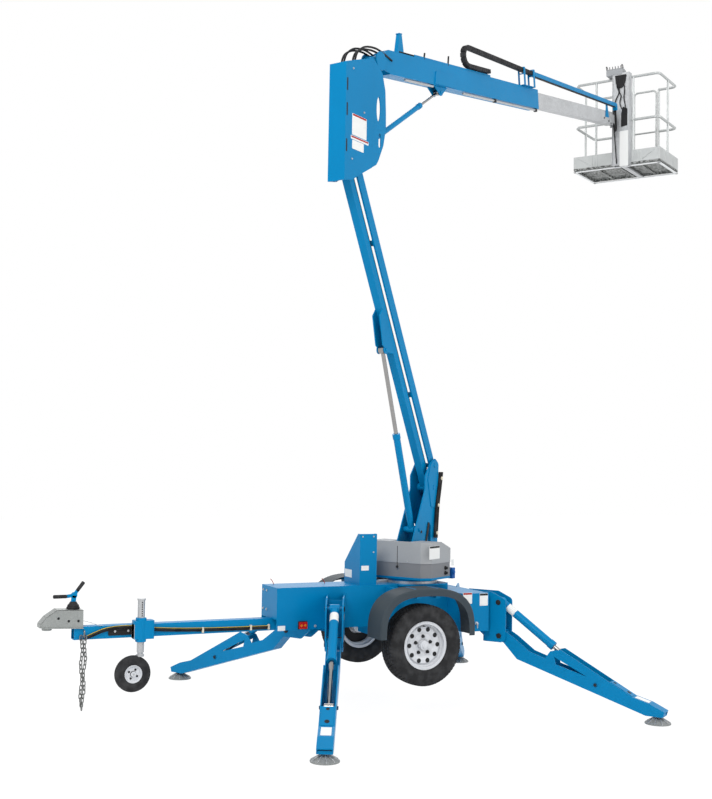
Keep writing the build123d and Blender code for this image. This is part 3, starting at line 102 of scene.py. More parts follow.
def on_circle(centre, x_dir, y_dir, radius, count, start=0.0):
    """Evenly spaced points round a centre."""
    spots = []
    for step in range(count):
        turn = 2 * pi * step / count + start
        spots.append(centre + (x_dir * cos(turn) + y_dir * sin(turn)) * radius)
    return spots


def spokes(direction, count):
    """Unit vectors square to a direction, evenly round it."""
    across = direction.orthogonal().normalized()
    return on_circle(ORIGIN, across, direction.cross(across), 1, count)


# Upright axes of the boom (out, up, to its right), axes along its members, and the trailer's faces
upright = axes(slew_axis, boom_out, UP)
upper = member(pin("upper_lift"), BOOM_ANGLE)
lower = member(pin("lower_lift"), ARM_ANGLE)
left_side = axes(ORIGIN, -FRONT, UP)
front_side = axes(ORIGIN, LEFT, UP)
ground = axes(ORIGIN, FRONT, LEFT)


def add_object(name, data):
    """Object of some data, linked into the scene."""
    made = bpy.data.objects.new(name, data)
    bpy.context.scene.collection.objects.link(made)
    return made


# Camera, at the photograph's place
CAMERA = Vector((4.7603, 9.1439, 2.0696))
CAMERA_HEADING = radians(25.8)
CAMERA_PITCH = radians(3.0)
CAMERA_ROLL = radians(1.0)
FOCAL_PIXELS = 1177.9
PICTURE_HEIGHT = 799
SENSOR = 36.0


def make_camera():
    data = bpy.data.cameras.new("camera")
    camera = add_object("camera", data)
    turn, pitch, roll = CAMERA_HEADING, CAMERA_PITCH, CAMERA_ROLL
    level = cos(pitch)
    forward = Vector((-sin(turn) * level, -cos(turn) * level, sin(pitch)))
    right = Vector((-cos(turn), sin(turn), 0))
    above = right.cross(forward)
    x_dir = right * cos(roll) + above * sin(roll)
    y_dir = above * cos(roll) - right * sin(roll)
    camera.matrix_world = axes(CAMERA, x_dir, y_dir)
    data.sensor_width = SENSOR
    data.lens = FOCAL_PIXELS / PICTURE_HEIGHT * SENSOR
    data.clip_start = 0.1
    data.clip_end = 200
    bpy.context.scene.camera = camera


make_camera()
bpy.context.scene.view_settings.view_transform = "Standard"


# Materials
GLOSS = 0.1
FOOT_LINE = 0.0585


def set_inputs(node, values):
    """Sets a node's inputs, by their names or numbers."""
    for socket, value in values.items():
        node.inputs[socket].default_value = value


def add_node(tree, kind, values=None):
    """New shader node of a kind, with the values of its inputs."""
    node = tree.nodes.new("ShaderNode" + kind)
    set_inputs(node, values or {})
    return node


class Finish:
    """A node material under construction, on object coordinates."""

    def __init__(self, name, colour, roughness, metallic=0.0, coat=0.0):
        self.material = bpy.data.materials.new(name)
        self.material.use_nodes = True
        self.tree = self.material.node_tree
        self.shader = self.tree.nodes["Principled BSDF"]
        self.colour = colour
        self.roughness = roughness
        set_inputs(self.shader, {"Base Color": (*colour, 1), "Roughness": roughness, "Metallic": metallic})
        set_inputs(self.shader, {"Coat Weight": coat, "Specular IOR Level": GLOSS})
        self.coordinates = add_node(self.tree, "TexCoord").outputs["Object"]

    def link(self, source, target):
        self.tree.links.new(source, target)

    def noise(self, scale, detail=4.0, stretch=None):
        """Noise value from 0 to 1, on coordinates stretched along each axis."""
        node = add_node(self.tree, "TexNoise", {"Scale": scale, "Detail": detail})
        source = self.coordinates
        if stretch:
            mapping = add_node(self.tree, "Mapping", {"Scale": stretch})
            self.link(source, mapping.inputs["Vector"])
            source = mapping.outputs["Vector"]
        self.link(source, node.inputs["Vector"])
        return node.outputs["Fac"]

    def cells(self, scale):
        """Random grey of one crystal after another."""
        node = add_node(self.tree, "TexVoronoi", {"Scale": scale})
        self.link(self.coordinates, node.inputs["Vector"])
        grey = add_node(self.tree, "RGBToBW")
        self.link(node.outputs["Color"], grey.inputs["Color"])
        return grey.outputs["Val"]

    def ramp(self, value, low, first, high, second):
        """One colour under a low value and a second over a high one."""
        node = add_node(self.tree, "ValToRGB")
        for element, place, colour in zip(node.color_ramp.elements, (low, high), (first, second)):
            element.position = place
            element.color = (*colour, 1)
        self.link(value, node.inputs["Fac"])
        return node.outputs["Color"]

    def tones(self, value, low, dark, high, light):
        """The finish's own colour, darker under a low value and lighter over a high one."""
        first, second = (tuple(min(1.0, part * factor) for part in self.colour) for factor in (dark, light))
        return self.ramp(value, low, first, high, second)

    def mix(self, amount, first, second):
        """Two colours mixed by an amount."""
        node = add_node(self.tree, "Mix")
        node.data_type = "RGBA"
        self.link(amount, node.inputs[0])
        self.link(first, node.inputs[6])
        self.link(second, node.inputs[7])
        return node.outputs[2]

    def paint(self, colour):
        self.link(colour, self.shader.inputs["Base Color"])

    def rough(self, value, smoother, rougher):
        """Roughness that varies with a value, by so much under and over the finish's own."""
        limits = {"To Min": self.roughness - smoother, "To Max": self.roughness + rougher}
        node = add_node(self.tree, "MapRange", limits)
        self.link(value, node.inputs["Value"])
        self.link(node.outputs["Result"], self.shader.inputs["Roughness"])

    def below(self, level):
        """Value that is 1 under a height of the object's own axes."""
        split = add_node(self.tree, "SeparateXYZ")
        self.link(self.coordinates, split.inputs["Vector"])
        node = add_node(self.tree, "Math", {1: level})
        node.operation = "LESS_THAN"
        self.link(split.outputs["Z"], node.inputs[0])
        return node.outputs[0]

    def bump(self, value, strength, depth):
        node = add_node(self.tree, "Bump", {"Strength": strength, "Distance": depth})
        self.link(value, node.inputs["Height"])
        self.link(node.outputs["Normal"], self.shader.inputs["Normal"])


def grating(name, colour):
    """Expanded metal: bright strands, with painted shade darkening the small openings between them."""
    finish = Finish(name, colour, 0.5, metallic=0.4)
    # The darker cells are painted shade standing in for the openings
    finish.paint(finish.tones(finish.cells(70.0), 0.45, 0.25, 0.6, 1))
    finish.bump(finish.cells(70.0), 0.4, 0.002)
    return finish.material


def painted(name, colour, roughness=0.4, coat=0.0, foot=None):
    """Sprayed paint: orange peel and soft dust; a foot colour shows below the foot line."""
    finish = Finish(name, colour, roughness, coat=coat)
    patches = finish.tones(finish.noise(1.3, 5.0), 0.3, 0.95, 0.7, 1.05)
    if foot:
        bare = finish.ramp(finish.cells(60.0), 0.2, tuple(part * 0.85 for part in foot), 0.8, foot)
        patches = finish.mix(finish.below(FOOT_LINE), patches, bare)
    finish.paint(patches)
    finish.rough(finish.noise(7.0), 0.05, 0.08)
    finish.bump(finish.noise(420.0, 2.0), 0.05, 0.0005)
    return finish.material


def galvanised(name, colour, roughness=0.42, spangle=55.0, metallic=0.55):
    """Dipped steel: crystal spangle, cloudy tone and faint runs."""
    finish = Finish(name, colour, roughness, metallic=metallic)
    crystals = finish.tones(finish.cells(spangle), 0.1, 0.78, 0.9, 1.18)
    clouds = finish.tones(finish.noise(5.0), 0.35, 0.86, 0.7, 1.08)
    finish.paint(finish.mix(finish.noise(12.0), crystals, clouds))
    finish.rough(finish.cells(spangle), 0.1, 0.14)
    finish.bump(finish.noise(160.0), 0.1, 0.0008)
    return finish.material


def moulded(name, colour, roughness=0.55):
    """Moulded plastic: fine leather grain and slight fading."""
    finish = Finish(name, colour, roughness)
    finish.paint(finish.tones(finish.noise(1.8), 0.3, 0.93, 0.7, 1.06))
    finish.rough(finish.noise(9.0), 0.06, 0.08)
    finish.bump(finish.noise(700.0, 2.0), 0.15, 0.0005)
    return finish.material


def rubber(name, colour, roughness=0.78):
    """Dusty black rubber."""
    finish = Finish(name, colour, roughness)
    dust = tuple(part + 0.03 for part in colour)
    finish.paint(finish.ramp(finish.noise(14.0, 8.0), 0.4, colour, 0.75, dust))
    finish.rough(finish.noise(30.0), 0.08, 0.1)
    finish.bump(finish.noise(300.0), 0.2, 0.0006)
    return finish.material


def polished(name, colour, roughness=0.14):
    """Ground and chromed rod, with fine turning marks."""
    finish = Finish(name, colour, roughness, metallic=1.0)
    finish.paint(finish.tones(finish.noise(60.0), 0.3, 0.92, 0.7, 1.05))
    finish.rough(finish.noise(90.0), 0.04, 0.08)
    finish.bump(finish.noise(900.0, 1.0), 0.03, 0.0002)
    return finish.material


def glassy(name, colour):
    """Lamp lens with moulded ribs."""
    finish = Finish(name, colour, 0.15, coat=0.5)
    finish.paint(finish.tones(finish.noise(90.0), 0.3, 0.8, 0.7, 1.2))
    finish.bump(finish.noise(1.0, 0.0, (500, 500, 4)), 0.3, 0.001)
    return finish.material


BLUE = (0.0, 0.195, 0.425)
finishes = {
    "blue_steel": painted("blue_paint", BLUE, 0.32),
    "blue_leg": painted("blue_leg_paint", BLUE, 0.32, foot=(0.27, 0.28, 0.275)),
    "galvanised": galvanised("galvanised_steel", (0.5, 0.51, 0.52)),
    "grey_plastic": moulded("grey_cover", (0.36, 0.37, 0.38)),
    "tray": moulded("tray_cover", (0.215, 0.22, 0.23)),
    "chain_steel": galvanised("chain_steel", (0.2, 0.205, 0.2), 0.36, 400.0, 0.7),
    "dark_plastic": moulded("dark_cover", (0.045, 0.058, 0.068)),
    "tyre": rubber("tyre_rubber", (0.022, 0.022, 0.023)),
    "rim": painted("rim_paint", (0.6, 0.61, 0.63), 0.3, 0.2),
    "chrome": polished("chromed_steel", (0.33, 0.325, 0.32)),
    "zinc": galvanised("zinc_plate", (0.5, 0.51, 0.52), 0.34, 400.0, 0.7),
    "black_steel": painted("black_paint", (0.022, 0.022, 0.023), 0.45),
    "aluminium": galvanised("dull_aluminium", (0.5, 0.515, 0.51), 0.4, 260.0, 0.5),
    "grating": grating("floor_grating", (0.34, 0.35, 0.34)),
    "battery": moulded("battery_case", (0.03, 0.03, 0.035)),
    "label": painted("blank_label", (0.8, 0.8, 0.78)),
    "red_label": painted("red_stripe", (0.42, 0.03, 0.025)),
    "cream": moulded("cream_cover", (0.66, 0.6, 0.47), 0.5),
    "hose": rubber("hose_rubber", (0.015, 0.015, 0.016), 0.55),
    "chain": rubber("cable_chain", (0.02, 0.02, 0.022), 0.6),
    "red_lens": glassy("red_lens", (0.5, 0.01, 0.005)),
    "amber_lens": glassy("amber_lens", (0.6, 0.17, 0.01)),
    "cast_grey": galvanised("cast_grey", (0.33, 0.345, 0.335), 0.42, 200.0, 0.45),
    "white_edge": painted("white_edge", (0.74, 0.75, 0.75)),
    "blue_plug": moulded("blue_plug", (0.01, 0.1, 0.35), 0.4),
    "yellow_wire": moulded("yellow_wire", (0.65, 0.45, 0.02), 0.5),
}
# The record's slot for each finish that isn't named after one
NODE_FINISH = {"platform_floor": "grating", "turntable_tray": "tray"}
for name, node in frame["nodes"].items():
    finish_name = "blue_leg" if name.startswith("outrigger_arm") else NODE_FINISH.get(name, node_slots[name])
    for material_slot in node.material_slots:
        material_slot.material = finishes[finish_name]


# Shapes
SMOOTH_ANGLE = radians(32)
LINK_STEPS = 6
LINK_SIDES = 8
LID_GAP = 0.0003
PLATE_THICKNESS = 0.0012
CORNER_STEPS = 4


def add_piece(name, data, material, body):
    """Object of a mesh or curve, with its finish and slot, riding on a body."""
    data.materials.append(finishes[material])
    made = add_object(name, data)
    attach(made, body)
    return made


class Shape:
    """One piece's mesh under construction, from solids given in axes of their own."""

    def __init__(self):
        self.mesh = bmesh.new()

    def skin(self, rings, round_trip=False):
        """Faces between rings of the same number of points; a round trip ends where it starts."""
        made = [[self.mesh.verts.new(point) for point in ring] for ring in rings]
        count = len(rings[0])
        following = made[1:] + made[:1] if round_trip else made[1:]
        for first, second in zip(made, following):
            for index in range(count):
                after = (index + 1) % count
                self.mesh.faces.new((first[index], first[after], second[after], second[index]))
        return made

    def loft(self, rings):
        """Solid through rings, capped at both ends."""
        made = self.skin(rings)
        self.mesh.faces.new(list(reversed(made[0])))
        self.mesh.faces.new(made[-1])

    def prism(self, place, outline, low, high):
        """Outline in the x and y of some axes, from low to high along z."""
        self.loft([along(place, outline, level) for level in (low, high)])

    def block(self, place, centre, size):
        x, y, z = centre
        half_x, half_y, half_z = (side / 2 for side in size)
        corners = ((-half_x, -half_y), (half_x, -half_y), (half_x, half_y), (-half_x, half_y))
        self.prism(place, [(x + dx, y + dy) for dx, dy in corners], z - half_z, z + half_z)

    def turned(self, start, direction, profile, sides=20):
        """Solid of revolution: profile of (distance along, radius) from start in a direction."""
        direction = direction.normalized()
        swings = spokes(direction, sides)
        rings = []
        for distance, radius in profile:
            rings.append([start + direction * distance + swing * radius for swing in swings])
        self.loft(rings)

    def disc(self, start, direction, radius, thickness, sides=20):
        self.turned(start, direction, [(0, radius), (thickness, radius)], sides)

    def rod(self, start, end, radius, sides=16):
        run = end - start
        length = run.length
        edge = min(radius, length) * 0.2
        profile = [(0, radius - edge), (edge, radius), (length - edge, radius), (length, radius - edge)]
        self.turned(start, run, profile, sides)

    def strip(self, place, start, end, thickness, low, high):
        """Straight bar in the x and y of some axes, from low to high along z."""
        start, end = Vector(start), Vector(end)
        run = (end - start).normalized() * thickness / 2
        square = Vector((-run.y, run.x))
        corners = (start + square, start - square, end - square, end + square)
        self.prism(place, [(corner.x, corner.y) for corner in corners], low, high)

    def lid(self, place, edge, shares, half, thickness):
        """Plate lying on a sloping edge, between two shares of its length."""
        first, last = (Vector(point) for point in edge)
        start, end = (first.lerp(last, share) for share in shares)
        run = (end - start).normalized()
        rise = Vector((-run.y, run.x)) * (LID_GAP + thickness / 2)
        self.strip(place, start + rise, end + rise, thickness, -half, half)

    def link(self, centre, wide_dir, length, width, radius):
        """Upright chain link of round bar, long and wide as given over its centre line."""
        across = UP.cross(wide_dir)
        loops = []
        for end in (1, -1):
            for step in range(LINK_STEPS + 1):
                turn = pi * step / LINK_STEPS
                out = (UP * sin(turn) + wide_dir * cos(turn)) * end
                middle = centre + UP * end * (length - width) / 2 + out * width / 2
                loops.append(on_circle(middle, out, across, radius, LINK_SIDES))
        self.skin(loops, round_trip=True)

    def hoop(self, centre, direction, profile, sides=40):
        """Ring: closed profile of (distance along, radius) turned round a direction."""
        rings = []
        for swing in spokes(direction, sides):
            rings.append([centre + direction * distance + swing * radius for distance, radius in profile])
        self.skin(rings, round_trip=True)

    def bolt(self, place, direction, size):
        """Washer and hex head standing on a surface."""
        direction = direction.normalized()
        self.disc(place, direction, size * 1.05, size * 0.16)
        head = [(size * high, size * wide) for high, wide in ((0, 0.86), (0.5, 0.86), (0.62, 0.7))]
        self.turned(place + direction * size * 0.15, direction, head, 6)

    def piece(self, name, material, body, bevel=0.0):
        """The finished piece, with its finish, riding on a body."""
        bmesh.ops.recalc_face_normals(self.mesh, faces=self.mesh.faces)
        data = bpy.data.meshes.new(name)
        self.mesh.to_mesh(data)
        self.mesh.free()
        data.shade_smooth()
        data.set_sharp_from_angle(angle=SMOOTH_ANGLE)
        made = add_piece(name, data, material, body)
        if bevel:
            modifier = made.modifiers.new("round", "BEVEL")
            modifier.width = bevel
            modifier.segments = 2
            modifier.limit_method = "ANGLE"
            modifier.angle_limit = SMOOTH_ANGLE
            modifier.harden_normals = True
        return made


def hose(name, points, diameter, body, material="hose"):
    """Tube of one smooth curve through its control points."""
    data = bpy.data.curves.new(name, "CURVE")
    data.dimensions = "3D"
    spline = data.splines.new("NURBS")
    spline.points.add(len(points) - 1)
    for control, point in zip(spline.points, points):
        control.co = (*point, 1)
    spline.order_u = 3
    spline.use_endpoint_u = True
    spline.resolution_u = 8
    data.bevel_depth = diameter / 2
    data.bevel_resolution = 4
    data.use_fill_caps = True
    return add_piece(name, data, material, body)


def rounded_outline(width, height, radius, centre=(0, 0)):
    """Corner points of a rectangle with round corners."""
    outline = []
    for quarter, (right, top) in enumerate(((1, 1), (-1, 1), (-1, -1), (1, -1))):
        for step in range(CORNER_STEPS + 1):
            turn = pi / 2 * (quarter + step / CORNER_STEPS)
            x = right * (width / 2 - radius) + radius * cos(turn)
            y = top * (height / 2 - radius) + radius * sin(turn)
            outline.append((centre[0] + x, centre[1] + y))
    return outline


def slab(name, place, outline, low, high, material, body, bevel=0.0):
    """Piece of one outline between two levels."""
    shape = Shape()
    shape.prism(place, outline, low, high)
    shape.piece(name, material, body, bevel)


def plates(place, skin, body, rows):
    """Thin plates on a surface: name, centre, size, layer over the surface, finish and corner of each."""
    for name, centre, size, layer, material, corner in rows:
        level = skin + layer * PLATE_THICKNESS
        outline = rounded_outline(*size, corner, centre)
        slab(name, place, outline, level, level + PLATE_THICKNESS, material, body)


def studs(name, spots, direction, profile, material, body, sides=20):
    """Piece of one turned solid, repeated at several spots."""
    shape = Shape()
    for spot in spots:
        shape.turned(spot, direction, profile, sides)
    shape.piece(name, material, body)


def bolts(name, spots, direction, size, material, body):
    """Piece of bolts that stand on one surface."""
    shape = Shape()
    for spot in spots:
        shape.bolt(spot, direction, size)
    shape.piece(name, material, body)


def blocks(name, place, centres, size, material, body, bevel):
    """Piece of one block, repeated at several centres."""
    shape = Shape()
    for centre in centres:
        shape.block(place, centre, size)
    shape.piece(name, material, body, bevel)


# Wheels: treaded tyres in place of the plain ones, nuts, hub caps, black discs of painted shade in the vents, and
# valves
TYRE_RADIUS = 0.3315
RIM_SEAT = 0.1783
BEAD = 0.0707
FLANGE = 0.197
TYRE_WALL = (
    (0.0905, 0.212), (0.0985, 0.232), (0.1022, 0.2563), (0.1012, 0.28), (0.0965, 0.298), (0.0905, 0.3095),
)
SHOULDER, SHOULDER_RADIUS = 0.086, 0.3165
TREAD_HALF = 0.0785
CROWN_DROP = 0.005
GROOVES = (0.052, 0.018, -0.018, -0.052)
GROOVE_FLOOR, GROOVE_MOUTH = 0.0035, 0.0045
GROOVE_DEPTH, SLOT_DEPTH = 0.0065, 0.0052
PITCHES = 66
# Share of the pitch, and whether the slot between two tread blocks is cut there
TREAD_BLOCK = ((0.0, False), (0.8, False), (0.84, True), (0.96, True))


def crown(across):
    """Radius of the tread at a distance across the tyre."""
    return TYRE_RADIUS - CROWN_DROP * (across / TREAD_HALF) ** 2


def tyre_profile():
    """The tyre's section: across, radius, whether slots cut it, and their shift in pitches."""
    edge = [(BEAD, RIM_SEAT), (BEAD, FLANGE), *TYRE_WALL]
    tread = [(SHOULDER, SHOULDER_RADIUS, True, 0), (TREAD_HALF, crown(TREAD_HALF), True, 0)]
    for index, groove in enumerate(GROOVES):
        bottom = crown(groove) - GROOVE_DEPTH
        near, far = groove + GROOVE_MOUTH, groove - GROOVE_MOUTH
        tread.append((near, crown(near), True, index % 2 * 0.5))
        tread.append((groove + GROOVE_FLOOR, bottom, False, 0))
        tread.append((groove - GROOVE_FLOOR, bottom, False, 0))
        tread.append((far, crown(far), True, (index + 1) % 2 * 0.5))
    tread += [(-TREAD_HALF, crown(TREAD_HALF), True, 0), (-SHOULDER, SHOULDER_RADIUS, True, 0)]
    outer = [(across, radius, False, 0) for across, radius in edge]
    inner = [(-across, radius, False, 0) for across, radius in reversed(edge)]
    return outer + tread + inner


def make_tyre(side_name, side):
    centre = pin(f"wheel_spin_{side_name}")
    rings = []
    for pitch in range(PITCHES):
        for share, cut in TREAD_BLOCK:
            ring = []
            for across, radius, tread, shift in tyre_profile():
                turn = 2 * pi * (pitch + share + shift) / PITCHES
                depth = radius - (SLOT_DEPTH if tread and cut else 0)
                ring.append(centre + Vector((depth * sin(turn), side * across, depth * cos(turn))))
            rings.append(ring)
    shape = Shape()
    shape.skin(rings, round_trip=True)
    tyre = shape.piece(f"treaded_tyre_{side_name}", "tyre", f"wheel_{side_name}")
    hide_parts(f"tyre_{side_name}")


NUT_CIRCLE, NUT_START = 0.071, 0.3
DISC_FACE = 0.0285
VENT_CIRCLE, VENT_FACE = 0.131, 0.0375
DRUM_PROFILE = ((-0.02, 0.075), (-0.02, 0.158), (-0.012, 0.158), (-0.012, 0.075))
CAP_PROFILE = ((0, 0.036), (0.01, 0.035), (0.03, 0.031), (0.042, 0.022), (0.045, 0.01))
VENT_PROFILE = ((0, 0.0195), (0.0012, 0.0188))
VALVE_PROFILE = ((0, 0.005), (0.012, 0.005), (0.014, 0.003), (0.03, 0.003))
VALVE_HEIGHT, VALVE_FACE = 0.154, 0.036


def dress_wheel(side_name, side):
    body = f"wheel_{side_name}"
    outward = LEFT * side
    hub = pin(f"wheel_spin_{side_name}")
    face = hub + outward * DISC_FACE
    nuts = Shape()
    for spot in on_circle(face, FRONT, UP, NUT_CIRCLE, 5, NUT_START):
        nuts.turned(spot, outward, [(0, 0.015), (0.004, 0.0135)])
        nuts.turned(spot + outward * 0.004, outward, [(0, 0.0125), (0.012, 0.0125), (0.018, 0.006)], 6)
    nuts.piece(f"wheel_nuts_{side_name}", "black_steel", body)
    drum = Shape()
    drum.hoop(face, outward, DRUM_PROFILE)
    drum.piece(f"brake_drum_{side_name}", "black_steel", body)
    studs(f"hub_cap_{side_name}", [face], outward, CAP_PROFILE, "rim", body, 32)
    # Black discs in the wheel's vent holes: painted shade
    vents = on_circle(hub + outward * VENT_FACE, FRONT, UP, VENT_CIRCLE, 10)
    studs(f"wheel_vents_{side_name}", vents, outward, VENT_PROFILE, "black_steel", body, 24)
    stem = hub + outward * VALVE_FACE + UP * VALVE_HEIGHT
    studs(f"valve_{side_name}", [stem], outward, VALVE_PROFILE, "hose", body, 12)


for side_name, side in SIDES:
    make_tyre(side_name, side)
    dress_wheel(side_name, side)

# Fenders: one rounded arch of moulding over each wheel, with a skirt down its outer edge
FENDER_FOOT, FENDER_LOW, FENDER_RISE = 0.442, 0.65, 0.392
FENDER_OUTER, FENDER_WIDTH = 0.735, 0.235
FENDER_STEPS = 40
ARCH_SQUARENESS, ARCH_FLATNESS = 0.72, 0.66
# Depth under the outside of the moulding, and distance in from its outer edge
FENDER_SECTION = (
    (0.0, FENDER_WIDTH), (0.0, 0.022), (0.003, 0.008), (0.012, 0.0), (0.058, 0.0),
    (0.058, 0.005), (0.016, 0.006), (0.005, 0.024), (0.005, FENDER_WIDTH),
)
BRACKET_X, BRACKET_Z = 0.09, 1.012


def fender_ring(step, side):
    """The moulding's section at one step over the wheel."""
    turn = pi * step / FENDER_STEPS
    across = copysign(abs(cos(turn)) ** ARCH_SQUARENESS, cos(turn))
    rise = sin(turn) ** ARCH_FLATNESS
    ring = []
    for depth, inset in FENDER_SECTION:
        x, z = (FENDER_FOOT - depth) * across, FENDER_LOW + (FENDER_RISE - depth) * rise
        ring.append(Vector((x, side * (FENDER_OUTER - inset), z)))
    return ring


def make_fender(side_name, side):
    shape = Shape()
    shape.loft([fender_ring(step, side) for step in range(FENDER_STEPS + 1)])
    shape.piece(f"fender_{side_name}", "dark_plastic", "base")


for side_name, side in SIDES:
    make_fender(side_name, side)
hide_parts("fenders")
brackets = Shape()
for x in (-BRACKET_X, BRACKET_X):
    for _, side in SIDES:
        brackets.rod(Vector((x, side * 0.38, BRACKET_Z)), Vector((x, side * 0.6, BRACKET_Z)), 0.012)
brackets.piece("fender_brackets", "black_steel", "base")

# Elbow: blank labels, painted shade in the slots at the folded corner, head bolts and hoses to the boom
ELBOW_SKIN = 0.0812
ELBOW_BACK = -1.2904
elbow_back = back_face(ELBOW_BACK)
plates(upright, ELBOW_SKIN, "elbow", (
    ("elbow_label", (-1.088, 4.786), (0.215, 0.175), 0, "label", 0.006),
    ("elbow_label_top", (-1.088, 4.864), (0.2, 0.014), 1, "red_label", 0.003),
    ("elbow_label_wide", (-1.08, 4.677), (0.262, 0.03), 0, "label", 0.006),
    ("elbow_label_stripe", (-1.08, 4.682), (0.25, 0.012), 1, "red_label", 0.003),
    ("elbow_label_small", (-1.105, 4.622), (0.17, 0.072), 0, "label", 0.006),
))
# Black plates in the slots: painted shade
slots = Shape()
for height in (5.092, 4.888, 4.595):
    side_slot = rounded_outline(0.016, 0.105, 0.006, (ELBOW_BACK + 0.02, height))
    slots.prism(upright, side_slot, ELBOW_SKIN - 0.0005, ELBOW_SKIN + 0.001)
    slots.prism(elbow_back, rounded_outline(0.016, 0.105, 0.006, (0.058, height)), -0.0005, 0.001)
slots.piece("elbow_slot_shade", "black_steel", "elbow")
spots = along(upright, ((-1.02, 4.92), (-1.19, 5.24), (-1.19, 4.5)), ELBOW_SKIN)
bolts("elbow_bolts", spots, boom_side, 0.008, "zinc", "elbow")
ELBOW_HOSE = ((-1.16, 5.22), (-1.16, 5.36), (-1.04, 5.45), (-0.9, 5.49), (-0.76, 5.5), (-0.58, 5.485))
for index, (side, lift) in enumerate(((0.045, 0.0), (0.068, 0.018), (-0.064, 0.008), (-0.04, 0.022))):
    raised = [(out, high + lift) for out, high in ELBOW_HOSE[2:-1]]
    run = along(upright, (*ELBOW_HOSE[:2], *raised, ELBOW_HOSE[-1]), side)
    hose(f"elbow_hose_{index}", run, 0.017, "elbow")

# Upper boom: hose trough, post, pegs, tube under it and the guide for the fly's conduit
BOOM_TOP = 0.1135
TROUGH_MIDDLE, TROUGH_LENGTH = 1.35, 1.5
trough = Shape()
trough.block(upper, (TROUGH_MIDDLE, BOOM_TOP + 0.002, 0.036), (TROUGH_LENGTH, 0.004, 0.044))
for side in (0.016, 0.056):
    trough.block(upper, (TROUGH_MIDDLE, BOOM_TOP + 0.012, side), (TROUGH_LENGTH, 0.02, 0.004))
trough.piece("hose_trough", "blue_steel", "upper_boom", bevel=0.001)
for index, side in enumerate((0.028, 0.044)):
    points = ((0.36, 0.128), (0.62, 0.127), (1.3, 0.126), (2.02, 0.127))
    hose(f"trough_hose_{index}", along(upper, points, side), 0.015, "upper_boom")
POST_TOP = 0.285
post = Shape()
post.prism(upper, [(0.325, BOOM_TOP), (0.44, BOOM_TOP), (0.424, POST_TOP), (0.386, POST_TOP)], 0.04, 0.046)
post.prism(upper, [(0.325, BOOM_TOP), (0.334, BOOM_TOP), (0.394, POST_TOP), (0.386, POST_TOP)], 0.01, 0.04)
post.block(upper, (0.405, POST_TOP + 0.004, 0.028), (0.05, 0.008, 0.04))
post.piece("hose_post", "blue_steel", "upper_boom", bevel=0.0015)
pegs = Shape()
for place, height in ((0.788, 0.175), (1.24, 0.206)):
    foot, tip = along(upper, ((place - 0.012, BOOM_TOP - 0.004), (place + 0.012, height)), 0.052)
    pegs.rod(foot, tip, 0.008)
pegs.piece("boom_pegs", "black_steel", "upper_boom")
TUBE_SIDE, TUBE_LOW = 0.047, -0.106
for name, low, places in (
    ("boom_tube", TUBE_LOW, (1.5, 1.8, 2.6, 3.19)),
    ("boom_tube_rear", TUBE_LOW + 0.002, (0.42, 0.6, 0.78, 0.92)),
):
    hose(name, along(upper, [(x, low) for x in places], TUBE_SIDE), 0.022, "upper_boom", "zinc")
clips = [(x, TUBE_LOW, TUBE_SIDE) for x in (2.18, 3.16)]
blocks("boom_tube_clips", upper, clips, (0.036, 0.034, 0.03), "black_steel", "upper_boom", 0.003)
GUIDE_LOW, GUIDE_HIGH, GUIDE_SHELF = BOOM_TOP, 0.299, 0.232
GUIDE_BAR = 0.007
guide = Shape()
for place in (2.825, 3.062):
    for side in (0.0325, 0.0975):
        height = GUIDE_HIGH - GUIDE_LOW
        guide.block(upper, (place, (GUIDE_LOW + GUIDE_HIGH) / 2, side), (0.034, height, GUIDE_BAR))
    for height in (GUIDE_LOW + GUIDE_BAR / 2, GUIDE_SHELF, GUIDE_HIGH - GUIDE_BAR / 2):
        guide.block(upper, (place, height, 0.065), (0.034, GUIDE_BAR, 0.058))
guide.block(upper, (2.944, GUIDE_LOW + 0.003, 0.065), (0.257, 0.006, 0.07))
guide.piece("conduit_guide", "blue_steel", "upper_boom", bevel=0.001)

# Fly boom: square conduit along its side, with the cable carrier that rolls back as the boom draws in
CONDUIT_NEAR, CONDUIT_FAR = 0.042, 0.088
CONDUIT_OUTLINE = (
    (3.04, 0.287), (5.508, 0.198), (5.53, 0.188), (5.54, 0.166),
    (5.54, 0.113), (5.494, 0.113), (5.494, 0.152), (3.04, 0.241),
)
CONDUIT_FOOT = ((5.222, 0.012), (5.252, 0.175), (5.302, 0.175), (5.332, 0.012))
CONDUIT_SLIT = ((3.044, 0.2412), (5.494, 0.1522), (5.494, 0.1492), (3.044, 0.2382))
conduit = Shape()
conduit.prism(upper, CONDUIT_OUTLINE, CONDUIT_NEAR, CONDUIT_FAR)
conduit.prism(upper, CONDUIT_FOOT, 0.0441, 0.0501)
conduit.piece("fly_conduit", "blue_steel", "fly", bevel=0.004)
slab("conduit_opening", upper, CONDUIT_SLIT, CONDUIT_NEAR + 0.004, CONDUIT_FAR - 0.004, "chain", "fly")
LINK_PITCH = 0.047
LOOP_CENTRE = Vector((1.612, 0.248))
LOOP_RADIUS = 0.088
LOOP_STEPS = 16
CARRIER_START, CARRIER_END = (3.052, 0.2634), 2.09


def carrier_route():
    """The carrier's centre line: back from the conduit, down round the loop and out again."""
    route = [Vector(CARRIER_START)]
    for step in range(LOOP_STEPS + 1):
        turn = pi / 2 + pi * step / LOOP_STEPS
        route.append(LOOP_CENTRE + Vector((cos(turn), sin(turn))) * LOOP_RADIUS)
    return [*route, Vector((CARRIER_END, LOOP_CENTRE.y - LOOP_RADIUS))]


def spaced(points, pitch):
    """Points at an even pitch along a path of straight runs."""
    made = [points[0]]
    left = pitch
    for start, end in zip(points, points[1:]):
        length = (end - start).length
        gone = left
        while gone <= length:
            made.append(start.lerp(end, gone / length))
            gone += pitch
        left = gone - length
    return made


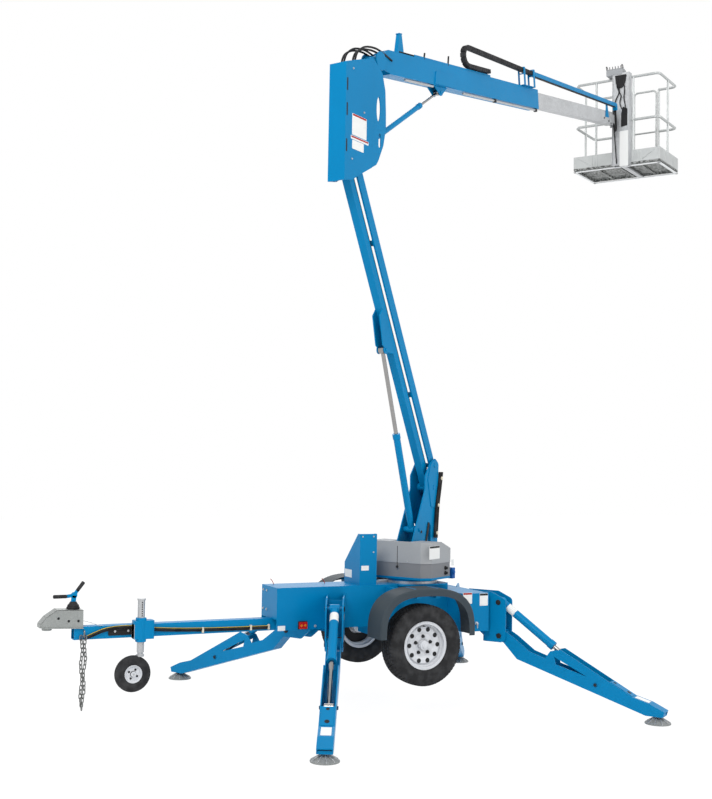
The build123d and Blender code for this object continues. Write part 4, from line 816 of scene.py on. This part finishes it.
pivots = spaced(carrier_route(), LINK_PITCH)
carrier = Shape()
for start, end in zip(pivots, pivots[1:]):
    run = end - start
    low, high = CONDUIT_NEAR, CONDUIT_FAR
    carrier.strip(upper, start - run * 0.12, end + run * 0.12, 0.026, low + 0.005, high - 0.005)
    carrier.strip(upper, start + run * 0.05, end - run * 0.05, 0.038, low, high)
carrier_piece = carrier.piece("cable_carrier", "chain", "upper_boom")
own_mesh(carrier_piece)

# Fly head: cables down to the platform's swivel, and bolts
FLY_SIDE = 0.0442
for index, (side, drop) in enumerate(((0.06, 0.0), (0.072, -0.02), (0.054, -0.035))):
    sag = [(x, y + drop) for x, y in ((5.52, 0.02), (5.505, -0.1), (5.478, -0.135))]
    hose(f"fly_hose_{index}", along(upper, ((5.517, 0.118), *sag, (5.45, -0.075)), side), 0.013, "fly")
spots = along(upper, ((5.18, -0.005), (5.33, -0.03), (5.4, -0.045), (5.4, 0.045)), FLY_SIDE)
bolts("fly_bolts", spots, boom_side, 0.01, "black_steel", "fly")

# Riser: painted shade in the slot and hole of the near plate, hoses with clips up its front edge, hoses along the
# arm
RISER_SKIN = 0.0862
slot_shade_shape = Shape()
# A black strip and disc in the plate's slot and hole: painted shade
slot_shade_shape.strip(upright, (0.138, 1.54), (0.096, 1.375), 0.03, RISER_SKIN - 0.0005, RISER_SKIN + 0.0008)
slot_shade_shape.disc(upright @ Vector((0.009, 1.463, RISER_SKIN)), boom_side, 0.013, 0.001)
slot_shade_shape.piece("riser_slot_shade", "black_steel", "turntable")
RISER_ROUTE = ((0.334, 1.985), (0.314, 1.86), (0.274, 1.7), (0.258, 1.5), (0.25, 1.4))
# Shift out from the route, and level to the boom's right
RISER_HOSES = ((-0.018, 0.0955), (0.0, 0.0955), (0.018, 0.0955), (0.047, 0.074), (0.05, 0.05))
for index, (shift, side) in enumerate(RISER_HOSES):
    run = along(upright, [(out + shift, high) for out, high in RISER_ROUTE], side)
    hose(f"riser_hose_{index}", run, 0.0185, "turntable")
spots = along(upright, ((0.333, 1.93), (0.28, 1.69), (0.26, 1.444)), 0.1)
tie = ((0, 0.016), (0.006, 0.016), (0.01, 0.01))
studs("riser_hose_ties", spots, boom_side, tie, "cream", "turntable")
for index, side in enumerate((0.021, 0.0, -0.021)):
    run = along(lower, [(x, -0.0465) for x in (0.16, 0.9, 2.0, 2.84)], side)
    hose(f"arm_hose_{index}", run, 0.0185, "lower_boom")

# Hood: blank labels, seam, latch, knobs, rivet and charger plug
HOOD_SIDE = 0.2923
hood_back = back_face(-0.2353)
plates(upright, HOOD_SIDE, "turntable", (
    ("hood_label", (-0.12, 1.3), (0.18, 0.112), 0, "label", 0.006),
    ("hood_label_bar", (-0.12, 1.346), (0.17, 0.016), 1, "black_steel", 0.003),
    ("hood_label_small", (0.207, 1.196), (0.048, 0.056), 0, "label", 0.006),
))
seam = Shape()
seam.prism(hood_back, rounded_outline(0.005, 0.172, 0.002, (-0.01, 1.262)), -0.0005, 0.0006)
latch = ((0, 0.01), (0.012, 0.01), (0.015, 0.006))
seam.turned(hood_back @ Vector((-0.007, 1.17, 0)), -boom_out, latch, 16)
for spot in along(upright, ((0.077, 1.157), (0.078, 1.114)), HOOD_SIDE - 0.001):
    seam.turned(spot, boom_side, [(0, 0.017), (0.006, 0.017), (0.008, 0.012), (0.022, 0.011)])
seam.piece("hood_catches", "black_steel", "turntable")
spots = along(hood_back, ((0.09, 1.215),), 0)
studs("hood_rivet", spots, -boom_out, ((0, 0.007), (0.003, 0.005)), "zinc", "turntable", 16)
plug = Shape()
plug.block(upright, (0.226, 1.102, 0.262), (0.052, 0.094, 0.066))
socket = ((0, 0.018), (0.008, 0.018), (0.01, 0.014))
plug.turned(upright @ Vector((0.222, 1.11, 0.295)), boom_side, socket, 24)
plug.piece("charger_plug", "blue_plug", "turntable", bevel=0.003)

# Boom rest: blank labels and bolts
REST_FRONT, REST_SIDE = 0.3502, 0.1502
plates(left_side, REST_SIDE, "base", (
    ("rest_label_side", (-0.3, 1.167), (0.07, 0.04), 0, "label", 0.003),
))
plates(front_side, REST_FRONT, "base", (
    ("rest_label_front", (-0.07, 1.107), (0.135, 0.066), 0, "label", 0.003),
))
spots = along(left_side, ((-0.325, 1.432), (-0.222, 1.432), (-0.222, 1.3)), REST_SIDE)
bolts("rest_bolts", spots, LEFT, 0.007, "zinc", "base")

# Chassis: side lamp, blank label, bolts on the front plate and pin lanyards
CHASSIS_SIDE, CHASSIS_FRONT, CHASSIS_TOP = 0.1702, 1.1052, 1.026
LAMP = (-0.876, 0.716)
LAMP_BASE, LAMP_FACE = CHASSIS_SIDE + 0.008, CHASSIS_SIDE + 0.026
outline = rounded_outline(0.082, 0.066, 0.006, LAMP)
slab("side_lamp_base", left_side, outline, CHASSIS_SIDE, LAMP_BASE, "black_steel", "base", 0.001)
outline = rounded_outline(0.072, 0.056, 0.008, LAMP)
slab("side_lamp_lens", left_side, outline, LAMP_BASE, LAMP_FACE, "red_lens", "base", 0.003)
spots = along(left_side, ((-0.892, LAMP[1]), (-0.86, LAMP[1])), LAMP_FACE)
studs("side_lamp_reflectors", spots, LEFT, ((0, 0.011), (0.003, 0.009)), "amber_lens", "base")
plates(left_side, CHASSIS_SIDE, "base", (
    ("chassis_label", (-1.062, 0.698), (0.066, 0.04), 0, "label", 0.003),
))
chassis_bolts = Shape()
for y, z in ((-0.13, 0.985), (-0.055, 0.985), (-0.13, 0.83), (-0.055, 0.83)):
    chassis_bolts.bolt(Vector((CHASSIS_FRONT, y, z)), FRONT, 0.01)
chassis_bolts.bolt(Vector((0.76, CHASSIS_SIDE, 0.705)), LEFT, 0.011)
chassis_bolts.piece("chassis_bolts", "zinc", "base")
for index, (x, y) in enumerate(((1.02, -0.12), (0.58, -0.05))):
    foot = Vector((x, y, CHASSIS_TOP))
    points = [foot, foot + Vector((0.01, -0.005, 0.03)), foot + Vector((0.03, 0, 0.045))]
    hose(f"pin_lanyard_{index}", points, 0.006, "base", "red_label")

# Rear box: blank labels and a drain cock
REAR_SIDE = 0.4302
COCK_X = -0.636
plates(left_side, REAR_SIDE, "base", (
    ("rear_label_1", (0.545, 0.915), (0.09, 0.095), 0, "label", 0.003),
    ("rear_label_1_bar", (0.545, 0.953), (0.084, 0.014), 1, "red_label", 0.003),
    ("rear_label_2", (0.547, 0.828), (0.05, 0.066), 0, "label", 0.003),
    ("rear_label_3", (0.548, 0.785), (0.04, 0.016), 0, "yellow_wire", 0.003),
    ("rear_label_4", (0.708, 0.9), (0.082, 0.105), 0, "label", 0.003),
    ("rear_label_4_bar", (0.708, 0.942), (0.078, 0.016), 1, "black_steel", 0.003),
))
COCK_PROFILE = ((0, 0.013), (0.006, 0.013), (0.008, 0.008), (0.024, 0.008))
cock = Shape()
cock.turned(Vector((COCK_X, REAR_SIDE, 0.7)), LEFT, COCK_PROFILE)
cock.rod(Vector((COCK_X, REAR_SIDE + 0.018, 0.704)), Vector((COCK_X, REAR_SIDE + 0.018, 0.66)), 0.006)
cock.piece("rear_cock", "zinc", "base")

# Coupler: pressed housing with its ball cup, handle on a rubber boot
COUPLER_HALF = 0.0562
COUPLER_SHEET = 0.006
COUPLER_OUTLINE = (
    (-2.652, 0.755), (-2.654, 0.896), (-2.854, 0.903), (-2.934, 0.85),
    (-2.975, 0.8), (-2.978, 0.772), (-2.887, 0.764),
)
COUPLER_FLANGE = ((-2.652, 0.757), (-2.887, 0.766), (-2.978, 0.774))
housing = Shape()
for low in (COUPLER_HALF - COUPLER_SHEET, -COUPLER_HALF):
    housing.prism(left_side, COUPLER_OUTLINE, low, low + COUPLER_SHEET)
top = [(x, z - COUPLER_SHEET / 2) for x, z in COUPLER_OUTLINE[1:6]]
for start, end in zip(top, top[1:]):
    housing.strip(left_side, start, end, COUPLER_SHEET, -COUPLER_HALF, COUPLER_HALF)
for side in (COUPLER_HALF + 0.004, -COUPLER_HALF - 0.004):
    for start, end in zip(COUPLER_FLANGE, (COUPLER_FLANGE[1], COUPLER_FLANGE[2])):
        housing.strip(left_side, start, end, 0.006, side - 0.006, side + 0.006)
BALL_CUP = Vector((2.917, 0, 0.744))
housing.turned(BALL_CUP, UP, [(0, 0.034), (0.004, 0.038), (0.05, 0.038), (0.062, 0.028)], 32)
housing.piece("coupler_housing", "cast_grey", "base", bevel=0.0015)
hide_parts("coupler")
# Black discs of painted shade in the housing's three holes and at the bottom of the ball cup
holes = Shape()
for spot in along(left_side, ((-2.69, 0.813), (-2.764, 0.815), (-2.842, 0.838)), COUPLER_HALF - 0.0004):
    holes.disc(spot, LEFT, 0.01, 0.001)
holes.disc(BALL_CUP - UP * 0.0004, -UP, 0.026, 0.0004, 32)
holes.piece("coupler_hole_shade", "black_steel", "base")
BOOT_PROFILE = ((0, 0.05), (0.012, 0.051), (0.02, 0.044), (0.028, 0.045), (0.036, 0.036), (0.055, 0.024))
studs("handle_boot", [Vector((2.722, 0, 0.901))], UP, BOOT_PROFILE, "hose", "base", 32)
HANDLE_FORK = (-2.717, 1.004)
GRIPS = (((-2.776, 0.996), (-2.876, 0.996)), ((-2.693, 1.039), (-2.645, 1.104)))
handle = Shape()
handle.strip(left_side, (-2.722, 0.948), HANDLE_FORK, 0.036, -0.011, 0.011)
handle.disc(left_side @ Vector((*HANDLE_FORK, -0.011)), LEFT, 0.024, 0.022, 24)
grips = Shape()
for root, tip in GRIPS:
    handle.strip(left_side, HANDLE_FORK, root, 0.026, -0.008, 0.008)
    start, end = along(left_side, (root, tip), 0)
    length = (end - start).length
    grips.turned(start, end - start, [(-0.006, 0.01), (0, 0.014), (length - 0.006, 0.0145), (length, 0.011)])
handle.piece("coupler_handle", "blue_steel", "base", bevel=0.003)
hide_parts("coupler_latch")
grips.piece("handle_grips", "hose", "base")

# Tongue: safety chain, side plate, wiring along its side and the breakaway cable
CHAIN_TOP, CHAIN_BOTTOM = 0.7, 0.162
CHAIN_STEP = 0.0315
CHAIN_MIDDLE = 2.65
CHAIN_LINKS = int((CHAIN_TOP - CHAIN_BOTTOM) / CHAIN_STEP)
chains = Shape()
for strand, (x, y, phase) in enumerate(((2.634, 0.066, 0.0), (2.662, 0.058, 1.9))):
    for index in range(CHAIN_LINKS):
        drawn = (CHAIN_MIDDLE - x) * index / CHAIN_LINKS * 0.6
        sway = 0.006 * sin(index * 0.9 + phase)
        centre = Vector((x + drawn + sway, y, CHAIN_TOP - (index + 0.5) * CHAIN_STEP))
        wide = Vector((1, 0.4, 0)) if (index + strand) % 2 else Vector((-0.4, 1, 0))
        chains.link(centre, wide.normalized(), 0.04, 0.022, 0.0042)
chains.link(Vector((CHAIN_MIDDLE, 0.062, CHAIN_BOTTOM - 0.004)), LEFT, 0.046, 0.026, 0.005)
chains.link(Vector((CHAIN_MIDDLE - 0.005, 0.06, CHAIN_TOP + 0.014)), LEFT, 0.052, 0.028, 0.005)
chains.piece("safety_chain", "chain_steel", "base")
TONGUE_SIDE = 0.0502
SIDE_PLATE_FACE = TONGUE_SIDE + 0.006
outline = rounded_outline(0.237, 0.064, 0.006, (-2.338, 0.722))
slab("tongue_side_plate", left_side, outline, TONGUE_SIDE, SIDE_PLATE_FACE, "black_steel", "base", 0.001)
spots = along(left_side, ((-2.405, 0.722), (-2.3, 0.722)), SIDE_PLATE_FACE)
bolts("tongue_bolts", spots, LEFT, 0.009, "zinc", "base")
WIRING = (
    (2.62, 0.69), (2.56, 0.715), (2.47, 0.748), (2.3, 0.758), (2.18, 0.735),
    (1.95, 0.716), (1.7, 0.706), (1.5, 0.702), (1.28, 0.7), (1.13, 0.7),
)
# The wiring stands out further where it passes the side plate
PLATE_START, PLATE_DETOUR = 2.2, 0.006
for name, lift, out, size, material in (
    ("loom", 0, 0.01, 0.016, "hose"),
    ("cable", -0.014, 0.007, 0.01, "hose"),
    ("wire", 0.009, 0.006, 0.006, "yellow_wire"),
):
    run = []
    for x, z in WIRING:
        run.append(Vector((x, TONGUE_SIDE + out + (PLATE_DETOUR if x > PLATE_START else 0), z + lift)))
    hose(f"tongue_{name}", run, size, "base", material)
clamps = [(x, 0.7, TONGUE_SIDE + 0.01) for x in (-1.695, -1.286, -1.13)]
blocks("wiring_clamps", left_side, clamps, (0.016, 0.044, 0.022), "cream", "base", 0.003)
BREAKAWAY = ((2.655, 0.058, 0.815), (2.6, 0.06, 0.8), (2.53, 0.055, 0.772), (2.5, 0.048, 0.768))
hose("breakaway_cable", [Vector(point) for point in BREAKAWAY], 0.005, "base", "zinc")

# Jack: blue clamp on the tongue, painted shade in the holes up the tube, fork behind the wheel, white rim with
# painted shade in its vents
JACK_X, JACK_Y = 2.215, 0.105
WHEEL_X, WHEEL_Z = 2.272, 0.397
wheel_middle = Vector((WHEEL_X, JACK_Y, WHEEL_Z))
clamp = Shape()
clamp.prism(ground, rounded_outline(0.16, 0.09, 0.012, (2.195, 0.0965)), 0.662, 0.806)
clamp.prism(ground, rounded_outline(0.082, 0.082, 0.036, (JACK_X, JACK_Y)), 0.64, 0.826)
clamp.piece("jack_clamp", "blue_steel", "base", bevel=0.003)
JACK_HOLES, JACK_HOLE_START, JACK_HOLE_PITCH = 7, 0.842, 0.017
# Black discs in the tube's holes: painted shade
spots = []
for step in range(JACK_HOLES):
    spots.append(Vector((JACK_X, JACK_Y + 0.0283, JACK_HOLE_START + step * JACK_HOLE_PITCH)))
studs("jack_hole_shade", spots, LEFT, ((0, 0.0055), (0.0006, 0.0055)), "black_steel", "base", 12)
FORK_SHEET = 0.008
FORK_FACE = JACK_Y - 0.033
FORK_BACK = FORK_FACE - FORK_SHEET
FORK_OUTLINE = (
    (-JACK_X + 0.028, 0.534), (-JACK_X - 0.028, 0.534), (-WHEEL_X - 0.022, WHEEL_Z),
    (-WHEEL_X, WHEEL_Z - 0.022), (-WHEEL_X + 0.022, WHEEL_Z),
)
fork = Shape()
fork.disc(Vector((JACK_X, JACK_Y, 0.526)), UP, 0.03, 0.0087, 28)
bridge = (0.056, JACK_Y - FORK_FACE + FORK_SHEET, 0.0085)
fork.block(ground, (JACK_X, (FORK_BACK + JACK_Y) / 2, 0.5303), bridge)
fork.prism(left_side, FORK_OUTLINE, FORK_BACK, FORK_FACE)
fork.rod(Vector((WHEEL_X, FORK_FACE - 0.012, WHEEL_Z)), Vector((WHEEL_X, JACK_Y + 0.037, WHEEL_Z)), 0.008)
fork.bolt(Vector((WHEEL_X, JACK_Y + 0.03, WHEEL_Z)), LEFT, 0.01)
fork.piece("jack_wheel_fork", "zinc", "jack_fork", bevel=0.001)
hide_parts("jack_fork")
RIM_PROFILE = ((0.0146, 0.0563), (0.0297, 0.0692), (0.0322, 0.068), (0.0322, 0.0655), (0.0172, 0.0535))
JACK_DISC_PROFILE = ((0, 0.0552), (0.002, 0.0552), (0.003, 0.05))
jack_rim = Shape()
jack_vent_shade = Shape()
for _, side in SIDES:
    outward = LEFT * side
    jack_rim.turned(wheel_middle + outward * 0.0142, outward, JACK_DISC_PROFILE, 32)
    jack_rim.hoop(wheel_middle, outward, RIM_PROFILE)
    jack_rim.turned(wheel_middle + outward * 0.0296, outward, [(0, 0.0205), (0.004, 0.0185)], 24)
    # Black discs in the rim's four vent holes: painted shade
    for spot in on_circle(wheel_middle + outward * 0.017, FRONT, UP, 0.037, 4, 0.5):
        jack_vent_shade.turned(spot, outward, [(0, 0.0095), (0.001, 0.009)])
jack_rim.piece("jack_wheel_rim", "rim", "jack_wheel")
jack_vent_shade.piece("jack_wheel_vent_shade", "black_steel", "jack_wheel")

# Platform tray: pressed creases on the toe boards and a pale edge round the floor
# The tray's near and far faces, half its width, and the level of its floor
TRAY_NEAR, TRAY_FAR, TRAY_HALF, TRAY_FLOOR = 4.866, 5.556, 0.56, 5.819
CREASE_LOW, CREASE_HIGH = TRAY_FLOOR + 0.006, TRAY_FLOOR + 0.144
CREASE_FACE = TRAY_NEAR - 0.001
CREASE_RADIUS = 0.0035
SLANT_MIDDLE, SLANT = 0.42, 0.085
tray = Shape()
for side in (-1, 1):
    start = upright @ Vector((CREASE_FACE, TRAY_FLOOR + 0.02, side * (SLANT_MIDDLE - SLANT)))
    end = upright @ Vector((CREASE_FACE, TRAY_FLOOR + 0.13, side * (SLANT_MIDDLE + SLANT)))
    tray.rod(start, end, 0.004)
for side in (0.24, 0.275, 0.31, -0.24, -0.275, -0.31):
    start, end = along(upright, ((CREASE_FACE, CREASE_LOW), (CREASE_FACE, CREASE_HIGH)), side)
    tray.rod(start, end, CREASE_RADIUS)
for out in (TRAY_NEAR + 0.16, TRAY_NEAR + 0.2, TRAY_FAR - 0.16, TRAY_FAR - 0.2):
    for side in (TRAY_HALF + 0.001, -TRAY_HALF - 0.001):
        start, end = along(upright, ((out, CREASE_LOW), (out, CREASE_HIGH)), side)
        tray.rod(start, end, CREASE_RADIUS)
tray.piece("toe_board_creases", "aluminium", "platform")
EDGE_LEVEL, EDGE_WIDTH, EDGE_HEIGHT = TRAY_FLOOR - 0.041, 0.031, 0.008
edge = Shape()
for low in (TRAY_HALF - EDGE_WIDTH, -TRAY_HALF):
    edge.strip(upright, (TRAY_NEAR, EDGE_LEVEL), (TRAY_FAR, EDGE_LEVEL), EDGE_HEIGHT, low, low + EDGE_WIDTH)
for out in (TRAY_NEAR, TRAY_FAR - EDGE_WIDTH):
    edge.strip(upright, (out, EDGE_LEVEL), (out + EDGE_WIDTH, EDGE_LEVEL), EDGE_HEIGHT, -TRAY_HALF, TRAY_HALF)
edge.piece("tray_edge", "white_edge", "platform")

# Platform: console, channel flanges, cables and cover on the mast
mast_face = back_face(4.7798)
CONSOLE_LID = ((4.776, 6.912), (4.772, 6.975), (4.8, 7.004), (4.9, 6.996), (4.944, 6.96), (4.944, 6.912))
CONSOLE_KEEL = ((4.8, 6.86), (4.786, 6.912), (4.9, 6.912), (4.872, 6.86))
console = Shape()
console.prism(upright, CONSOLE_LID, -0.098, 0.11)
console.prism(upright, CONSOLE_KEEL, -0.02, 0.1)
console.piece("console", "grey_plastic", "platform", bevel=0.005)
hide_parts("control_box")
controls = Shape()
for index, side in enumerate((-0.066, -0.03, 0.006, 0.042, 0.078)):
    foot, tip = along(upright, ((4.815, 7.0), (4.808 + 0.006 * (index % 2), 7.036)), side)
    controls.turned(foot, UP, [(0, 0.009), (0.006, 0.009), (0.008, 0.006)], 16)
    controls.rod(foot, tip, 0.0045)
controls.piece("console_toggles", "black_steel", "platform")
GUARD = ((4.788, 6.985), (4.762, 7.025), (4.772, 7.035), (4.806, 7.034), (4.822, 7.002))
for index, side in enumerate((-0.094, 0.106)):
    hose(f"console_guard_{index}", along(upright, GUARD, side), 0.009, "platform", "black_steel")
flanges = [(side, 6.352, 0.006) for side in (-0.0125, 0.1985)]
blocks("mast_flanges", mast_face, flanges, (0.003, 1.15, 0.014), "galvanised", "platform", 0.0008)
outline = rounded_outline(0.112, 0.44, 0.01, (0.138, 5.976))
slab("mast_cover", mast_face, outline, 0, 0.012, "label", "platform", 0.003)
SWIVEL_PLATE = ((0.1, 6.25), (0.178, 6.262), (0.178, 6.47), (0.12, 6.5), (0.1, 6.42))
CONSOLE_BRACKET = (
    (0.02, 6.9), (0.165, 6.9), (0.15, 6.8), (0.11, 6.74), (0.06, 6.74), (0.03, 6.8),
)
bracket = Shape()
bracket.prism(mast_face, SWIVEL_PLATE, 0, 0.01)
bracket.prism(mast_face, CONSOLE_BRACKET, 0, 0.016)
bracket.piece("mast_brackets", "black_steel", "platform", bevel=0.002)
MAST_CABLES = (
    (
        (0.06, 6.88), (0.034, 6.76), (0.085, 6.69), (0.03, 6.6), (0.01, 6.5),
        (-0.004, 6.43), (0.014, 6.2), (0.03, 6.0), (0.046, 5.795),
    ),
    ((0.12, 6.87), (0.15, 6.72), (0.13, 6.6), (0.16, 6.5), (0.15, 6.4)),
    ((0.085, 6.87), (0.062, 6.7), (0.11, 6.64), (0.07, 6.54), (0.12, 6.46)),
)
for index, points in enumerate(MAST_CABLES):
    hose(f"mast_cable_{index}", along(mast_face, points, 0.014), 0.013, "platform")

# Outriggers: cover plate with painted shade in its two holes and blank label by the tip, pin heads, ribs on the
# foot, tag and barrel label
OUTRIGGERS = (
    # name, x and y of the bracket, heading in degrees
    ("front_left", 0.655, 0.33, 63), ("front_right", 0.655, -0.33, -63),
    ("rear_left", -0.824, 0.33, 124), ("rear_right", -0.824, -0.33, -124),
)
# Places in a leg's own axes: distance out and height
LEG_ROOT, LEG_KNEE, LEG_TIP = Vector((0.681, 0.521)), Vector((1.296, 0.196)), Vector((1.436, 0.16))
FOLD_PIN, RAM_PIN, ROD_PIN = Vector((0.128, 0.59)), Vector((0.12, 0.875)), Vector((0.985, 0.262))
FOOT_X = 1.489
RIB = ((0.021, 0.04), (0.1, 0.0095), (0.101, 0.016), (0.04, 0.05), (0.021, 0.056))
RIB_COUNT, RIB_HALF = 10, 0.003
BRACKET_SKIN, ARM_SKIN = 0.0742, 0.0592
BARREL_LABEL = ((0, 0.0342), (0, 0.0355), (0.085, 0.0355), (0.085, 0.0342))
BARREL_LABEL_START = 0.075


def dress_outrigger(name, x, y, heading):
    body = f"leg_{name}"
    out = Vector((cos(radians(heading)), sin(radians(heading)), 0))
    leg = axes(Vector((x, y, 0)), out, UP)
    beside = leg.col[2].xyz
    cover = Shape()
    cover.lid(leg, (LEG_ROOT, LEG_KNEE), (0.7, 0.99), 0.046, 0.003)
    cover.piece(f"leg_cover_{name}", "blue_steel", body, bevel=0.001)
    label = Shape()
    label.lid(leg, (LEG_KNEE, LEG_TIP), (0.1, 0.92), 0.038, PLATE_THICKNESS)
    label.piece(f"leg_label_{name}", "label", body)
    marks = Shape()
    slope = (LEG_KNEE - LEG_ROOT).normalized()
    square = UP * slope.x - out * slope.y
    # Black discs in the cover's two holes: painted shade; the bolts at the rod pin are black steel
    for place, radius in ((1.132, 0.014), (1.252, 0.019)):
        level = LEG_ROOT.y + (place - LEG_ROOT.x) * slope.y / slope.x
        marks.disc(leg @ Vector((place, level, 0)) + square * 0.003, square, radius, 0.001, 24)
    for _, side in SIDES:
        marks.bolt(leg @ Vector((*ROD_PIN, side * ARM_SKIN)), beside * side, 0.016)
    marks.piece(f"leg_hole_shade_and_bolts_{name}", "black_steel", body)
    ribs = Shape()
    centre = leg @ Vector((FOOT_X, 0, 0))
    for spoke in on_circle(ORIGIN, FRONT, LEFT, 1, RIB_COUNT):
        ribs.prism(axes(centre, spoke, UP), RIB, -RIB_HALF, RIB_HALF)
    ribs.piece(f"foot_ribs_{name}", "galvanised", body)
    heads = Shape()
    for _, side in SIDES:
        for head in along(leg, (FOLD_PIN, RAM_PIN), side * BRACKET_SKIN):
            heads.turned(head, beside * side, [(0, 0.022), (0.006, 0.022), (0.008, 0.017)], 24)
    heads.piece(f"leg_pin_heads_{name}", "black_steel", "base")
    outline = rounded_outline(0.03, 0.046, 0.004, (0.03, 0.8))
    slab(f"leg_tag_{name}", leg, outline, -BRACKET_SKIN - 0.0011, -BRACKET_SKIN, "yellow_wire", "base")
    ram = (ROD_PIN - RAM_PIN).normalized()
    start = leg @ Vector((*(RAM_PIN + ram * BARREL_LABEL_START), 0))
    band = Shape()
    band.hoop(start, out * ram.x + UP * ram.y, BARREL_LABEL)
    band.piece(f"barrel_label_{name}", "label", f"leg_barrel_{name}")


for outrigger in OUTRIGGERS:
    dress_outrigger(*outrigger)


# Floor, light and background
FLOOR_SIZE = 60.0
FLOOR_GLOW, FLOOR_SHARE = 1.06, 0.88
SKY, SKY_STRENGTH = (0.95, 0.97, 1.0, 1), 0.6
WHITE = (1, 1, 1, 1)


def background_share(tree):
    """Value that is 1 for rays that show the background directly, in a gloss or through glass."""
    path = add_node(tree, "LightPath")
    share = path.outputs["Is Camera Ray"]
    for other in ("Is Glossy Ray", "Is Transmission Ray"):
        larger = add_node(tree, "Math")
        larger.operation = "MAXIMUM"
        tree.links.new(share, larger.inputs[0])
        tree.links.new(path.outputs[other], larger.inputs[1])
        share = larger.outputs[0]
    return share


def mixed(tree, share, first, second, target):
    """Two shaders mixed by a share, into a target."""
    mix = add_node(tree, "MixShader")
    tree.links.new(share, mix.inputs[0])
    tree.links.new(first.outputs[0], mix.inputs[1])
    tree.links.new(second.outputs[0], mix.inputs[2])
    tree.links.new(mix.outputs[0], target)


def make_world():
    world = bpy.data.worlds.new("studio")
    bpy.context.scene.world = world
    world.use_nodes = True
    tree = world.node_tree
    light = tree.nodes["Background"]
    set_inputs(light, {"Color": SKY, "Strength": SKY_STRENGTH})
    seen = add_node(tree, "Background", {"Color": WHITE, "Strength": 1.0})
    mixed(tree, background_share(tree), light, seen, tree.nodes["World Output"].inputs["Surface"])


def make_floor():
    """Pale floor that fades to white away from the object and keeps its shadow."""
    data = bpy.data.meshes.new("floor")
    half = FLOOR_SIZE / 2
    corners = [(-half, -half, 0), (half, -half, 0), (half, half, 0), (-half, half, 0)]
    data.from_pydata(corners, [], [(0, 1, 2, 3)])
    floor = add_object("floor", data)
    material = bpy.data.materials.new("floor")
    material.use_nodes = True
    tree = material.node_tree
    shader = tree.nodes["Principled BSDF"]
    set_inputs(shader, {"Base Color": WHITE, "Roughness": 0.9, "Specular IOR Level": GLOSS})
    glow = add_node(tree, "Emission", {"Color": WHITE, "Strength": FLOOR_GLOW})
    share = add_node(tree, "Math", {1: FLOOR_SHARE})
    share.operation = "MULTIPLY"
    tree.links.new(background_share(tree), share.inputs[0])
    mixed(tree, share.outputs[0], shader, glow, tree.nodes["Material Output"].inputs["Surface"])
    data.materials.append(material)


def make_lamp(name, place, aim, size, power):
    data = bpy.data.lights.new(name, "AREA")
    data.size = size
    data.energy = power
    lamp = add_object(name, data)
    lamp.location = place
    lamp.rotation_mode = "QUATERNION"
    lamp.rotation_quaternion = (Vector(aim) - Vector(place)).to_track_quat("-Z", "Y")


make_world()
make_floor()
make_lamp("key", (9, 8, 13), (-1, -1, 2.5), 8, 1500)
make_lamp("fill", (-10, 9, 8), (-2, -1, 3), 9, 700)
make_lamp("rim", (-4, -12, 10), (-1, 0, 3), 8, 700)
